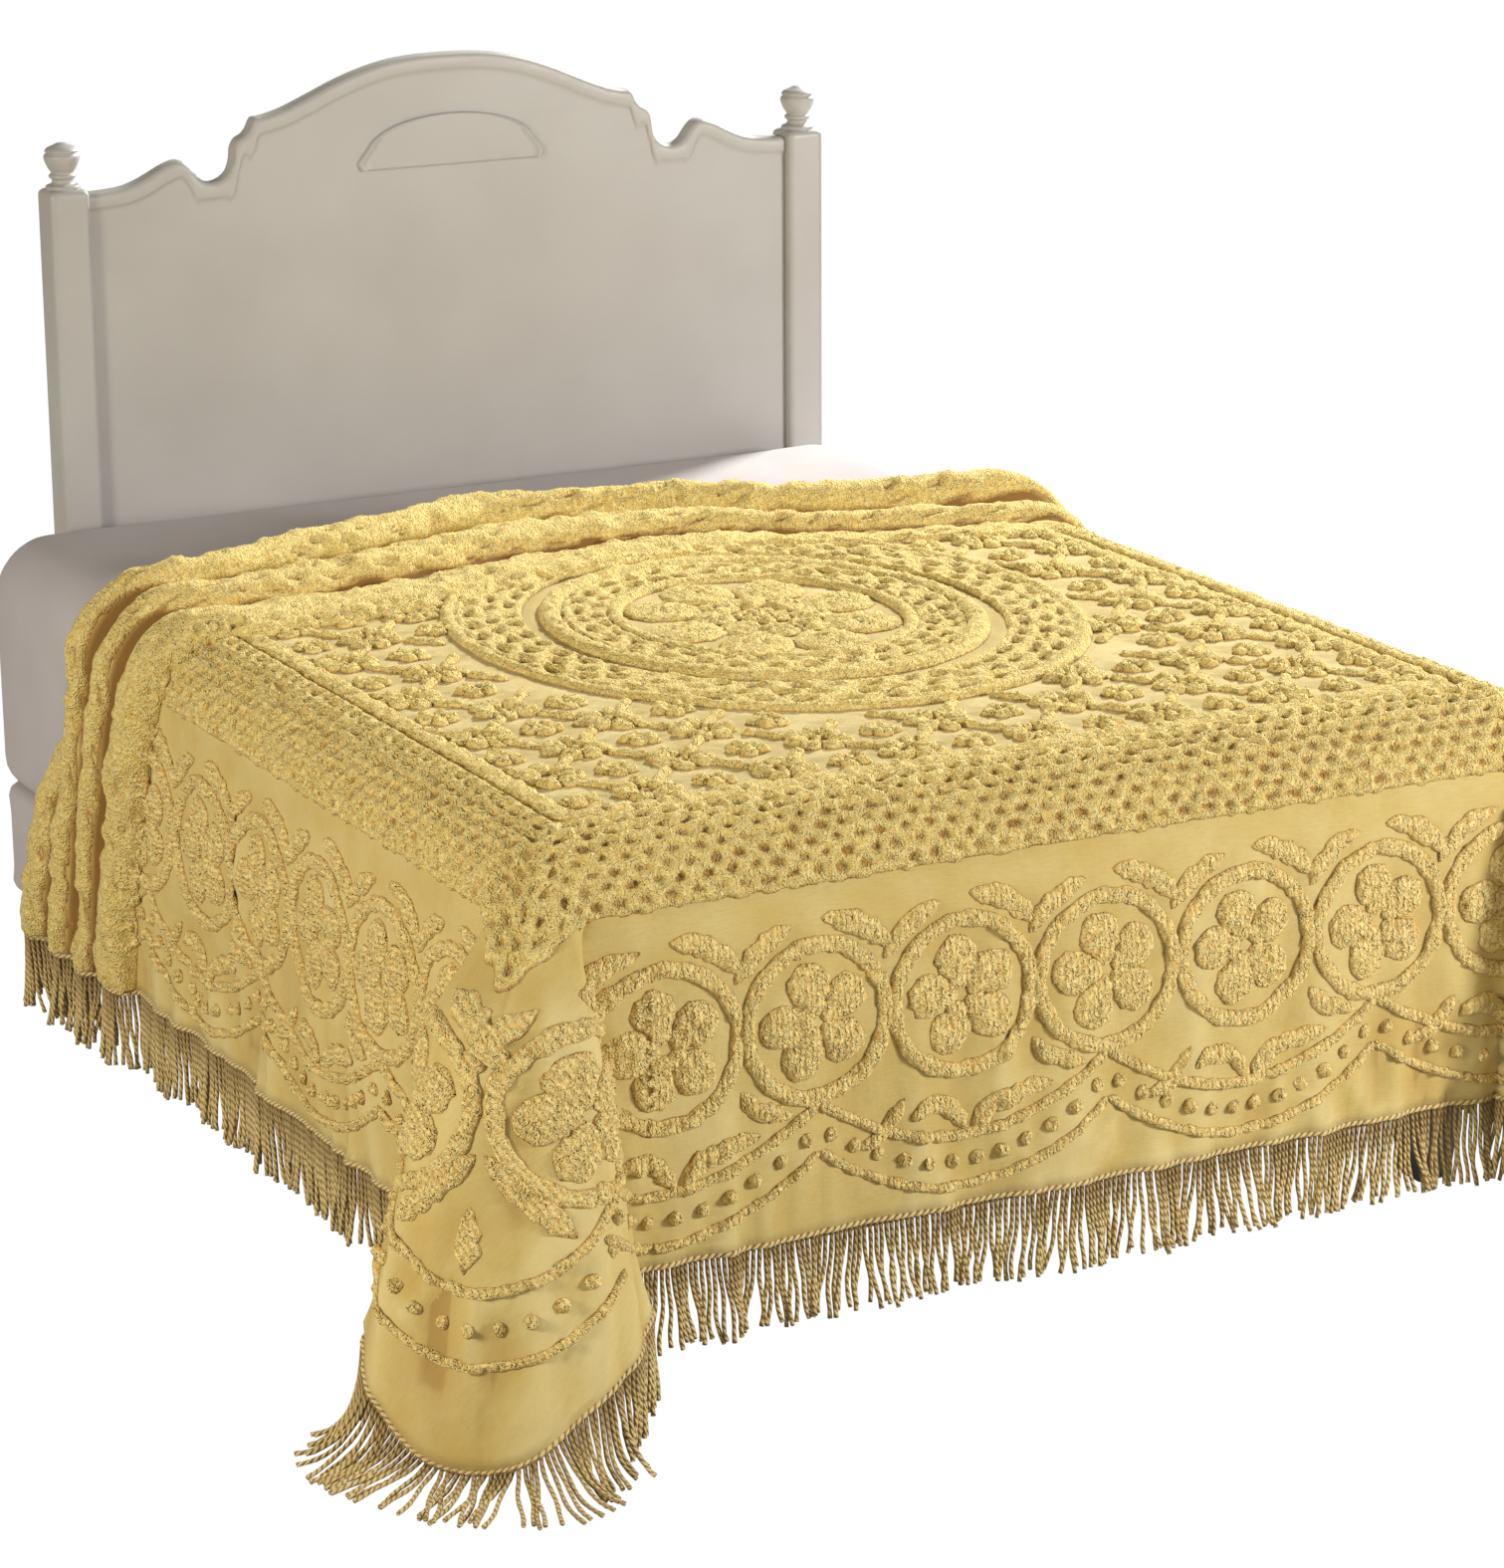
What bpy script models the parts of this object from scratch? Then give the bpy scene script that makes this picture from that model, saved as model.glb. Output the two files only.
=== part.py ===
"""Tufted chenille bedspread with a fringe, fallen over a double bed.

Metres, +Z up. X runs across the bed, the foot of the bed faces -Y, and the bed stands on Z = 0.
The cloth is described on its flat pattern: u across the bed, v along it, both from the middle of the
mattress top. The inner rectangle lies on the mattress; past it the cloth turns over the rounded edge
and hangs. Each foot corner hangs as one full tongue, and the head end lies in bunched folds that run down both sides as pleats.
"""

import math

import bmesh
import bpy
import numpy as np

# ---- bed -------------------------------------------------------------------------------------
BED_Y = 0.101  # the middle of the mattress, toward the head from the middle of the footprint
TOP = 0.640  # underside of the cloth on the mattress
HALF_X = 0.614  # inner rectangle of the cloth, where the edge starts to turn down
FOOT_Y = 0.826
EDGE_R = 0.086  # radius of that turn
MATTRESS_HALF_X = 0.698
MATTRESS_HALF_Y = 0.909
MATTRESS_R = 0.093
MATTRESS_LOW_R = 0.045
MATTRESS_BOTTOM = 0.275
MATTRESS_GAP = 0.0010
BASE_HALF_X = 0.688
BASE_HALF_Y = 0.898
BASE_BOTTOM = 0.120
BASE_CORNER_R = 0.060
GAP = 0.0004  # between touching pieces
LEG_HALF = 0.034
LEG_X = 0.600
LEG_ROWS_Y = (-0.800, 0.0, 0.800)

# ---- headboard -------------------------------------------------------------------------------
BOARD_X = 0.058  # its middle, a little right of the mattress middle
BOARD_Y = 0.945
BOARD_THICK = 0.034
BOARD_BOTTOM = 0.260
POST_X = 0.588
POST_HALF = 0.029
POST_TOP = TOP + 0.463
# half outline of the top edge: distance from the middle, height above the cloth level
BOARD_EDGE = (
    dict(x=0.000, z=0.617), dict(x=0.045, z=0.616), dict(x=0.090, z=0.611), dict(x=0.135, z=0.600),
    dict(x=0.175, z=0.586), dict(x=0.215, z=0.569), dict(x=0.255, z=0.553), dict(x=0.285, z=0.545),
    dict(x=0.300, z=0.543), dict(x=0.306, z=0.532), dict(x=0.315, z=0.521), dict(x=0.327, z=0.514),
    dict(x=0.332, z=0.503), dict(x=0.333, z=0.490), dict(x=0.338, z=0.475), dict(x=0.348, z=0.463),
    dict(x=0.362, z=0.457), dict(x=0.377, z=0.458), dict(x=0.389, z=0.466), dict(x=0.398, z=0.478),
    dict(x=0.408, z=0.488), dict(x=0.420, z=0.491), dict(x=0.440, z=0.485), dict(x=0.462, z=0.474),
    dict(x=0.485, z=0.464), dict(x=0.510, z=0.458), dict(x=0.558, z=0.455),
)
# turned finial on each post: radius at a height above the post
FINIAL = (
    dict(r=0.0240, z=0.000), dict(r=0.0240, z=0.006), dict(r=0.0170, z=0.010), dict(r=0.0150, z=0.016),
    dict(r=0.0190, z=0.021), dict(r=0.0190, z=0.025), dict(r=0.0160, z=0.029), dict(r=0.0200, z=0.037),
    dict(r=0.0240, z=0.048), dict(r=0.0255, z=0.058), dict(r=0.0220, z=0.064), dict(r=0.0240, z=0.067),
    dict(r=0.0200, z=0.073), dict(r=0.0110, z=0.078), dict(r=0.0060, z=0.081),
)

# ---- cloth -----------------------------------------------------------------------------------
CLOTH_T = 0.008  # ground and pile together
DROP = 0.5435  # flat distance from the inner rectangle to the hem
CORNER_R = 0.166  # the cloth's two foot corners are cut round
FLARE = 0.010  # how far the hem swings out
WAVE = 0.005

# corner tongue, small where it starts under the edge and full at the floor
TONGUE = dict(start=0.115, full=0.700, leave=0.140, gone_deg=150.0)
TONGUE_TOP = dict(across=0.074, out=0.062, shift=0.018)
TONGUE_HEM = dict(across=0.172, out=0.134, shift=0.060)
KEEP_OFF = 0.0025  # its arms stay this far off the hanging planes
TONGUE_SLACK = 0.046  # share of the depth lost to its slope

# head end: a row per place across the flat cloth, with the y of the fold crests and their heights
HEAD_FOLDS = (
    dict(u=-1.160, base=0.255, c1=0.295, c2=0.375, c3=0.460, c4=0.555, end=0.630, h1=0.034, h2=0.042, h3=0.044, h4=0.048),
    dict(u=-0.980, base=0.235, c1=0.277, c2=0.355, c3=0.437, c4=0.525, end=0.590, h1=0.036, h2=0.042, h3=0.042, h4=0.036),
    dict(u=-0.850, base=0.200, c1=0.245, c2=0.325, c3=0.405, c4=0.465, end=0.510, h1=0.036, h2=0.041, h3=0.039, h4=0.012),
    dict(u=-0.700, base=0.145, c1=0.200, c2=0.285, c3=0.375, c4=0.435, end=0.475, h1=0.032, h2=0.040, h3=0.045, h4=0.006),
    dict(u=-0.570, base=0.100, c1=0.165, c2=0.258, c3=0.355, c4=0.418, end=0.460, h1=0.024, h2=0.038, h3=0.050, h4=0.005),
    dict(u=-0.360, base=0.125, c1=0.190, c2=0.310, c3=0.435, c4=0.505, end=0.550, h1=0.018, h2=0.036, h3=0.051, h4=0.005),
    dict(u=-0.100, base=0.200, c1=0.260, c2=0.390, c3=0.515, c4=0.585, end=0.630, h1=0.014, h2=0.034, h3=0.048, h4=0.005),
    dict(u=0.140, base=0.250, c1=0.290, c2=0.375, c3=0.475, c4=0.545, end=0.590, h1=0.008, h2=0.030, h3=0.047, h4=0.005),
    dict(u=0.370, base=0.170, c1=0.200, c2=0.270, c3=0.365, c4=0.435, end=0.480, h1=0.004, h2=0.022, h3=0.046, h4=0.005),
    dict(u=0.600, base=0.110, c1=0.135, c2=0.215, c3=0.315, c4=0.385, end=0.430, h1=0.003, h2=0.018, h3=0.046, h4=0.005),
    dict(u=0.700, base=0.090, c1=0.120, c2=0.205, c3=0.300, c4=0.370, end=0.415, h1=0.006, h2=0.022, h3=0.045, h4=0.007),
    dict(u=0.850, base=0.105, c1=0.150, c2=0.230, c3=0.315, c4=0.385, end=0.430, h1=0.020, h2=0.034, h3=0.042, h4=0.016),
    dict(u=1.160, base=0.130, c1=0.185, c2=0.270, c3=0.355, c4=0.435, end=0.500, h1=0.040, h2=0.042, h3=0.042, h4=0.030),
)
FOLDS = 4
VALLEY_AT = 0.60  # where between two crests the valley lies
VALLEY_LEFT = 0.12  # share of the fold height that a valley keeps
FOLD_BULGE = 0.004

# ---- fringe ----------------------------------------------------------------------------------
FRINGE_LONG = 0.100
FRINGE_HEAD = 0.010
FRINGE_T = 0.004
FRINGE_TEETH = 84
FRINGE_FILL = 0.68
FRINGE_DROP = 0.0026  # clear of the hem
FLOOR_GAP = 0.0045  # middle of a strand that lies on the floor

# ---- mesh density ----------------------------------------------------------------------------
FLAT_COLUMNS = 14
FLAT_ROWS = 9
FOLD_STEPS = 6
DROP_ROWS = (0.035, 0.070, 0.105, 0.135, 0.175, 0.225, 0.290, 0.365, 0.450, DROP)
CORNER_COLUMNS = 22


def smooth(t):
    t = np.clip(t, 0.0, 1.0)
    return t * t * (3.0 - 2.0 * t)


def lerp(a, b, t):
    return a + (b - a) * t


# ---- the draped surface ----------------------------------------------------------------------
def fold_row(u):
    """Columns of HEAD_FOLDS at u, smoothly between the rows."""
    at = np.array([row["u"] for row in HEAD_FOLDS])
    u = np.clip(u, at[0], at[-1])
    i = np.clip(np.searchsorted(at, u) - 1, 0, len(at) - 2)
    t = smooth((u - at[i]) / (at[i + 1] - at[i])) * 0.5 + (u - at[i]) / (at[i + 1] - at[i]) * 0.5
    names = ("base", "c1", "c2", "c3", "c4", "end", "h1", "h2", "h3", "h4")
    return {n: lerp(np.array([r[n] for r in HEAD_FOLDS])[i], np.array([r[n] for r in HEAD_FOLDS])[i + 1], t) for n in names}


def head_fold(u, q):
    """y and height off the bed of the bunched cloth: q runs from 0, its start, to FOLDS, its end."""
    row = fold_row(u)
    valleys = [lerp(row["c%d" % k], row["c%d" % (k + 1)], VALLEY_AT) for k in range(1, FOLDS)]
    starts = (row["base"], *valleys)
    ends = (*valleys, row["end"])
    y = np.zeros_like(u)
    h = np.zeros_like(u)
    k = np.clip(np.floor(q).astype(int), 0, FOLDS - 1)
    f = q - k
    for i in range(FOLDS):
        here = k == i
        crest, height = row["c%d" % (i + 1)], row["h%d" % (i + 1)]
        before = height * 0 if i == 0 else VALLEY_LEFT * row["h%d" % i]
        after = height * 0 if i == FOLDS - 1 else VALLEY_LEFT * height
        hump = np.sin(np.pi * f) ** 2
        rest = np.where(f < 0.5, before, after) * (1 - hump)
        straight = np.where(f < 0.5, lerp(starts[i], crest, 2 * f), lerp(crest, ends[i], 2 * f - 1))
        bulge = FOLD_BULGE * np.minimum(1.0, height / 0.02) * np.sin(2 * np.pi * f)
        y = np.where(here, straight - bulge, y)
        h = np.where(here, height * hump + rest, h)
    return y, h


def edge_turn(d):
    """How far out and how far down the cloth is at flat distance d past the inner rectangle, and its tilt."""
    t = np.clip(d / EDGE_R, 0.0, np.pi / 2)
    past = np.maximum(0.0, d - EDGE_R * np.pi / 2)
    return EDGE_R * np.sin(t), EDGE_R * (1 - np.cos(t)) + past, t


def swing(s, d):
    """How far a hanging side stands off its plane."""
    depth = np.clip((d - EDGE_R * np.pi / 2) / (DROP - EDGE_R * np.pi / 2), 0.0, 1.3)
    wave = np.sin(2 * np.pi * s / 0.63 + 0.8) + 0.6 * np.sin(2 * np.pi * s / 0.37 + 2.1)
    return FLARE * depth + WAVE * depth * (1.0 + 0.6 * wave)


def tongue_outline(depth):
    """Plan of a foot corner at one depth: X and Y from the corner of the two hanging planes, foot side first."""
    full = smooth((depth - TONGUE["start"]) / (TONGUE["full"] - TONGUE["start"])) * 0.35
    full += 0.65 * np.clip((depth - TONGUE["start"]) / (TONGUE["full"] - TONGUE["start"]), 0.0, 1.05)
    across, out, shift = (lerp(TONGUE_TOP[n], TONGUE_HEM[n], full) for n in ("across", "out", "shift"))
    root = math.sqrt(0.5)
    gone = math.radians(TONGUE["gone_deg"])
    phi = np.linspace(gone, -gone, 161)
    lobe = np.stack([
        -shift - root * out * np.cos(phi) + root * across * np.sin(phi),
        -shift - root * out * np.cos(phi) - root * across * np.sin(phi)], 1)
    start = np.array([TONGUE["leave"], 0.0])
    heading = lobe[1] - lobe[0]
    heading /= np.linalg.norm(heading)
    reach = 1.35 * np.linalg.norm(lobe[0] - start)
    t = np.linspace(0.0, 1.0, 41)[:-1, None]
    arm = (
        (2 * t**3 - 3 * t**2 + 1) * start + (t**3 - 2 * t**2 + t) * reach * np.array([-1.0, 0.0])
        + (-2 * t**3 + 3 * t**2) * lobe[0] + (t**3 - t**2) * reach * heading)
    return np.concatenate([arm, lobe, arm[::-1, ::-1]])


def tongue_table():
    depths = np.linspace(0.05, 0.76, 48)
    share = np.linspace(0.0, 1.0, 241)
    table = np.empty((len(depths), len(share), 2))
    for i, depth in enumerate(depths):
        line = tongue_outline(depth)
        run = np.concatenate([[0.0], np.cumsum(np.linalg.norm(np.diff(line, axis=0), axis=1))])
        for k in range(2):
            table[i, :, k] = np.interp(share, run / run[-1], line[:, k])
    return depths, share, table


TONGUE_DEPTHS, TONGUE_SHARES, TONGUE_PLAN = tongue_table()


def tongue_point(s, d):
    """X, Y past the corner of the planes, and share round the tongue, s along the flat edge line at depth d."""
    lead = TONGUE["leave"] - EDGE_R
    whole = np.pi / 2 * d + 2 * lead
    share = np.clip(s / whole, 0.0, 1.0)
    out, _, _ = edge_turn(d)
    turn = np.clip((s - lead) / np.maximum(d, 1e-9), 0.0, np.pi / 2)
    straight_in = np.maximum(0.0, lead - s)
    straight_out = np.maximum(0.0, s - lead - np.pi / 2 * d)
    plain_x = EDGE_R - out * np.sin(turn) + straight_in
    plain_y = EDGE_R - out * np.cos(turn) + straight_out
    i = np.clip((d - TONGUE_DEPTHS[0]) / (TONGUE_DEPTHS[1] - TONGUE_DEPTHS[0]), 0, len(TONGUE_DEPTHS) - 1.001)
    j = np.clip(share * (len(TONGUE_SHARES) - 1), 0, len(TONGUE_SHARES) - 1.001)
    i0, j0 = i.astype(int), j.astype(int)
    fi, fj = (i - i0)[:, None], (j - j0)[:, None]
    full = (
        TONGUE_PLAN[i0, j0] * (1 - fi) * (1 - fj) + TONGUE_PLAN[i0 + 1, j0] * fi * (1 - fj)
        + TONGUE_PLAN[i0, j0 + 1] * (1 - fi) * fj + TONGUE_PLAN[i0 + 1, j0 + 1] * fi * fj)
    grown = smooth((d - 0.085) / 0.150)
    x, y = lerp(plain_x, full[:, 0], grown), lerp(plain_y, full[:, 1], grown)
    # nowhere nearer the mattress than the plain fall
    limit = out + KEEP_OFF * grown
    off_x, off_y = EDGE_R - x, EDGE_R - y
    away = np.hypot(off_x, off_y)
    push = np.where((off_x > 0) & (off_y > 0) & (away < limit), limit / np.maximum(away, 1e-9), 1.0)
    x, y = EDGE_R - off_x * push, EDGE_R - off_y * push
    y = np.where(off_x <= 0, np.minimum(y, EDGE_R - limit), y)
    x = np.where(off_y <= 0, np.minimum(x, EDGE_R - limit), x)
    return x, y, share, grown


def surface(u, v, q):
    """Underside of the cloth for flat points (u, v). q is 0 or more in the head folds, and then replaces v."""
    u, v, q = (np.asarray(a, float) for a in (u, v, q))
    side = np.where(u < 0, -1.0, 1.0)
    du = np.maximum(0.0, np.abs(u) - HALF_X)
    dv = np.where(q < 0, np.maximum(0.0, -FOOT_Y - v), 0.0)
    lead = TONGUE["leave"] - EDGE_R
    # plain parts: top, sides and head folds
    fold_y, fold_h = head_fold(u, np.maximum(q, 0.0))
    y = np.where(q >= 0, fold_y, v)
    h = np.where(q >= 0, fold_h, 0.0)
    out, down, tilt = edge_turn(du)
    stand = swing(y + 0.2 * side, du) + h * np.sin(tilt)
    x = np.where(du > 0, side * (HALF_X + out + stand), u)
    z = TOP - down + h * np.cos(tilt)
    # foot side
    out_f, down_f, _ = edge_turn(dv)
    foot = (dv > 0) & (du == 0)
    x = np.where(foot, u, x)
    y = np.where(foot, -FOOT_Y - out_f - swing(u, dv), y)
    z = np.where(foot, TOP - down_f, z)
    # foot corners, and the strips beside them
    from_foot = lead - (HALF_X - np.abs(u))
    from_side = v + FOOT_Y
    rho = np.hypot(du, dv)
    theta = np.arctan2(du, dv)
    in_corner = (du > 0) & (dv > 0)
    near_foot = foot & (from_foot > 0)
    near_side = (du > 0) & (dv == 0) & (q < 0) & (from_side < lead)
    s = np.where(near_foot, from_foot, np.where(near_side, lead + np.pi / 2 * du + from_side, lead + rho * theta))
    depth = np.where(near_foot, dv, np.where(near_side, du, rho))
    cx, cy, share, grown = tongue_point(s, depth)
    corner = in_corner | near_foot | near_side
    inside = np.sin(np.pi * share) ** 2
    _, down_c, _ = edge_turn(depth)
    past = np.maximum(0.0, depth - EDGE_R * np.pi / 2)
    foot_swing = swing(side * (HALF_X - lead), depth) * smooth(1 - 3 * share)
    side_swing = swing(lead - FOOT_Y + 0.2 * side, depth) * smooth(3 * share - 2)
    x = np.where(corner, side * (HALF_X + EDGE_R - cx + side_swing), x)
    y = np.where(corner, -(FOOT_Y + EDGE_R) + cy - foot_swing, y)
    z = np.where(corner, TOP - down_c + past * TONGUE_SLACK * grown * inside, z)
    return np.stack([x, y, z], -1)


def hem_depth(theta):
    """Flat distance from the inner corner to the rounded hem, theta from the foot side."""
    c = DROP - CORNER_R
    along = c * (np.cos(theta) + np.sin(theta))
    rounded = along + np.sqrt(np.maximum(0.0, along**2 - 2 * c * c + CORNER_R**2))
    straight = DROP / np.maximum(np.cos(theta), np.sin(theta))
    other = straight * np.minimum(np.cos(theta), np.sin(theta))
    return np.where(other <= c, straight, rounded)


# ---- meshes ----------------------------------------------------------------------------------
def clear_scene():
    for old in list(bpy.data.objects):
        bpy.data.objects.remove(old, do_unlink=True)


def material(name, colour, roughness=0.8):
    made = bpy.data.materials.new(name)
    made.use_nodes = True
    shader = made.node_tree.nodes["Principled BSDF"]
    shader.inputs["Base Color"].default_value = (*colour, 1.0)
    shader.inputs["Roughness"].default_value = roughness
    return made


def add(name, points, faces, finish):
    mesh = bpy.data.meshes.new(name)
    mesh.from_pydata([(float(p[0]), float(p[1]) + BED_Y, float(p[2])) for p in points], [], faces)
    made = bpy.data.objects.new(name, mesh)
    bpy.context.scene.collection.objects.link(made)
    box = bmesh.new()
    box.from_mesh(mesh)
    bmesh.ops.remove_doubles(box, verts=box.verts, dist=1e-5)
    bmesh.ops.recalc_face_normals(box, faces=box.faces)
    bmesh.ops.triangulate(box, faces=box.faces)
    box.to_mesh(mesh)
    box.free()
    mesh.materials.append(finish)
    return made


def patch(u, v, q):
    return surface(u.ravel(), v.ravel(), q.ravel()).reshape(*u.shape, 3)


def cloth_patches():
    """The cloth as grids of points that share their edges, each with the same way round."""
    columns = np.linspace(-HALF_X, HALF_X, FLAT_COLUMNS)
    flat = np.linspace(0.0, 1.0, FLAT_ROWS)
    folds = np.linspace(0.0, FOLDS, FOLDS * FOLD_STEPS + 1)[1:]
    depths = np.concatenate([[0.0], DROP_ROWS])

    def along(u):
        """v and q of the rows along the bed, for each u."""
        base = fold_row(u)["base"]
        v = np.concatenate([lerp(-FOOT_Y, base[:, None], flat[None, :]), np.repeat(base[:, None], len(folds), 1)], 1)
        q = np.concatenate([np.full(len(flat), -1.0), folds])[None, :].repeat(len(u), 0)
        return v, q

    made = []
    v, q = along(columns)
    made.append(patch(np.repeat(columns[:, None], v.shape[1], 1), v, q))
    for side in (-1, 1):
        us = side * (HALF_X + depths)
        v, q = along(us)
        grid = patch(np.repeat(us[:, None], v.shape[1], 1), v, q)
        made.append(grid[::-1] if side < 0 else grid)
        theta = np.linspace(0.0, np.pi / 2, CORNER_COLUMNS)
        share = depths / DROP
        rho = share[None, :] * hem_depth(theta)[:, None]
        u = side * (HALF_X + rho * np.sin(theta)[:, None])
        u[-1] = us
        u[0] = side * HALF_X
        v = -FOOT_Y - rho * np.cos(theta)[:, None]
        v[-1] = -FOOT_Y
        corner = patch(u, v, np.full(u.shape, -1.0))
        made.append(corner[::-1, ::-1] if side < 0 else corner[:, ::-1])
    v = np.repeat(-FOOT_Y - depths[::-1][None, :], len(columns), 0)
    u = np.repeat(columns[:, None], len(depths), 1)
    made.append(patch(u, v, np.full(u.shape, -1.0)))
    return made


def weld(patches):
    """Points and quads of the patches as one sheet."""
    keys, points, faces = {}, [], []

    def number(p):
        key = tuple(np.round(p, 6))
        if key not in keys:
            keys[key] = len(points)
            points.append(p)
        return keys[key]

    for grid in patches:
        ids = [[number(p) for p in row] for row in grid]
        for i in range(len(ids) - 1):
            for j in range(len(ids[0]) - 1):
                face = [ids[i][j], ids[i + 1][j], ids[i + 1][j + 1], ids[i][j + 1]]
                face = [n for k, n in enumerate(face) if n != face[k - 1]]
                if len(set(face)) >= 3:
                    faces.append(face)
    return np.array(points), faces


def thicken(points, faces, thickness):
    """A closed solid from the sheet: its own points and the same points moved along their normals."""
    normals = point_normals(points, faces)
    count = len(points)
    solid = np.concatenate([points, points + thickness * normals])
    made = [[n + count for n in face] for face in faces] + [face[::-1] for face in faces]
    edges = {}
    for face in faces:
        for k in range(len(face)):
            a, b = face[k - 1], face[k]
            if (b, a) in edges:
                del edges[(b, a)]
            else:
                edges[(a, b)] = True
    for a, b in edges:
        made.append([b, a, a + count, b + count][::-1])
    return solid, made


def point_normals(points, faces):
    normals = np.zeros_like(points)
    for face in faces:
        p = points[face]
        n = np.zeros(3)
        for k in range(len(face)):
            n += np.cross(p[k - 1], p[k])
        normals[face] += n / max(np.linalg.norm(n), 1e-12)
    return normals / np.linalg.norm(normals, axis=1)[:, None]


def build_spread(finish):
    points, faces = weld(cloth_patches())
    solid, made = thicken(points, faces, CLOTH_T)
    return add("spread", solid, made, finish)


def hem_line():
    """Hem points, mid thickness, with the way out of the cloth, from the head end on the left round to the right."""
    us, vs, qs = [], [], []
    folds = np.linspace(0.0, FOLDS, FOLDS * FOLD_STEPS + 1)
    hem_u = HALF_X + DROP
    base = {side: float(fold_row(np.array([side * hem_u]))["base"][0]) for side in (-1, 1)}

    def put(u, v, q):
        us.append(u)
        vs.append(v)
        qs.append(q)

    for q in folds[::-1]:
        put(-hem_u, base[-1], q)
    for t in np.linspace(1.0, 0.0, FLAT_ROWS)[1:-1]:
        put(-hem_u, lerp(-FOOT_Y, base[-1], t), -1.0)
    for theta in np.linspace(np.pi / 2, 0.0, CORNER_COLUMNS):
        rho = float(hem_depth(np.array([theta]))[0])
        put(-HALF_X - rho * math.sin(theta), -FOOT_Y - rho * math.cos(theta), -1.0)
    for t in np.linspace(-1.0, 1.0, FLAT_COLUMNS)[1:-1]:
        put(t * HALF_X, -FOOT_Y - DROP, -1.0)
    for theta in np.linspace(0.0, np.pi / 2, CORNER_COLUMNS):
        rho = float(hem_depth(np.array([theta]))[0])
        put(HALF_X + rho * math.sin(theta), -FOOT_Y - rho * math.cos(theta), -1.0)
    for t in np.linspace(0.0, 1.0, FLAT_ROWS)[1:-1]:
        put(hem_u, lerp(-FOOT_Y, base[1], t), -1.0)
    for q in folds:
        put(hem_u, base[1], q)
    sheet, faces = weld(cloth_patches())
    normals = point_normals(sheet, faces)
    at = [int(np.argmin(np.sum((sheet - p) ** 2, axis=1))) for p in surface(us, vs, qs)]
    low, high = sheet[at], sheet[at] + CLOTH_T * normals[at]
    line = (low + high) / 2
    line[:, 2] = np.minimum(low[:, 2], high[:, 2])
    outward = normals[at] * np.array([1.0, 1.0, 0.0])
    return line, outward / np.linalg.norm(outward, axis=1)[:, None]


def build_fringe(finish):
    line, outward = hem_line()
    run = np.concatenate([[0.0], np.cumsum(np.linalg.norm(np.diff(line, axis=0), axis=1))])
    pitch = run[-1] / FRINGE_TEETH
    stops = []
    for k in range(FRINGE_TEETH):
        stops += [k * pitch + pitch * (1 - FRINGE_FILL) / 2, k * pitch + pitch * (1 + FRINGE_FILL) / 2]
    stops = [0.0] + stops[1:-1] + [run[-1]]
    pos = np.stack([np.interp(stops, run, line[:, k]) for k in range(3)], 1)
    out = np.stack([np.interp(stops, run, outward[:, k]) for k in range(3)], 1)
    out /= np.linalg.norm(out, axis=1)[:, None]
    up = np.array([0.0, 0.0, 1.0])
    # the comb's straight stretches stay under a hem that sags between two teeth
    sag = np.zeros(len(stops))
    for k in range(len(stops) - 1):
        between = (run > stops[k]) & (run < stops[k + 1])
        chord = np.interp(run[between], stops[k:k + 2], pos[k:k + 2, 2])
        over = max([0.0, *(chord - line[between, 2])])
        sag[k:k + 2] = np.maximum(sag[k:k + 2], over)
    pos[:, 2] -= sag

    def strand(p, n, t):
        """Point at length t down the fringe and the way it faces; it turns out where it meets the floor."""
        z = p[2] - FRINGE_DROP
        free = max(0.0, z - FLOOR_GAP)
        if t <= free:
            at = p + n * (0.06 * t) - up * (FRINGE_DROP + t)
        else:
            at = p + n * (0.06 * free + t - free) - up * (FRINGE_DROP + free)
        facing = up if t > free + 0.004 else (n if t < free - 0.004 else (n + up) / math.sqrt(2))
        return at, facing

    stations = (0.0, FRINGE_HEAD, 0.055, FRINGE_LONG)
    points, faces = [], []
    for p, n in zip(pos, out):
        for t in stations:
            at, facing = strand(p, n, t)
            at = np.array(at)
            low = at - facing * FRINGE_T / 2
            high = at + facing * FRINGE_T / 2
            low[2] = max(low[2], 0.0012)
            high[2] = max(high[2], low[2] + 0.0012)
            points += [low, high]
    per = 2 * len(stations)
    for k in range(len(stops) - 1):
        a, b = k * per, (k + 1) * per
        rows = len(stations) - 1 if k % 2 == 0 else 1
        for r in range(rows):
            i = 2 * r
            faces.append([a + i, b + i, b + i + 2, a + i + 2])
            faces.append([a + i + 1, a + i + 3, b + i + 3, b + i + 1])
            if r > 0 or k == 0:
                faces.append([a + i, a + i + 2, a + i + 3, a + i + 1])
            if r > 0 or k == len(stops) - 2:
                faces.append([b + i, b + i + 1, b + i + 3, b + i + 2])
        faces.append([a, a + 1, b + 1, b])
        i = 2 * rows
        faces.append([a + i, b + i, b + i + 1, a + i + 1])
    return add("fringe", np.array(points), faces, finish)


def rounded_plan(half_x, half_y, radius, steps):
    points = []
    for quarter, (sx, sy) in enumerate(((1, 1), (-1, 1), (-1, -1), (1, -1))):
        for t in np.linspace(0.0, np.pi / 2, steps):
            a = t + quarter * np.pi / 2
            points.append((sx * (half_x - radius) + radius * math.cos(a), sy * (half_y - radius) + radius * math.sin(a)))
    return points


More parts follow.
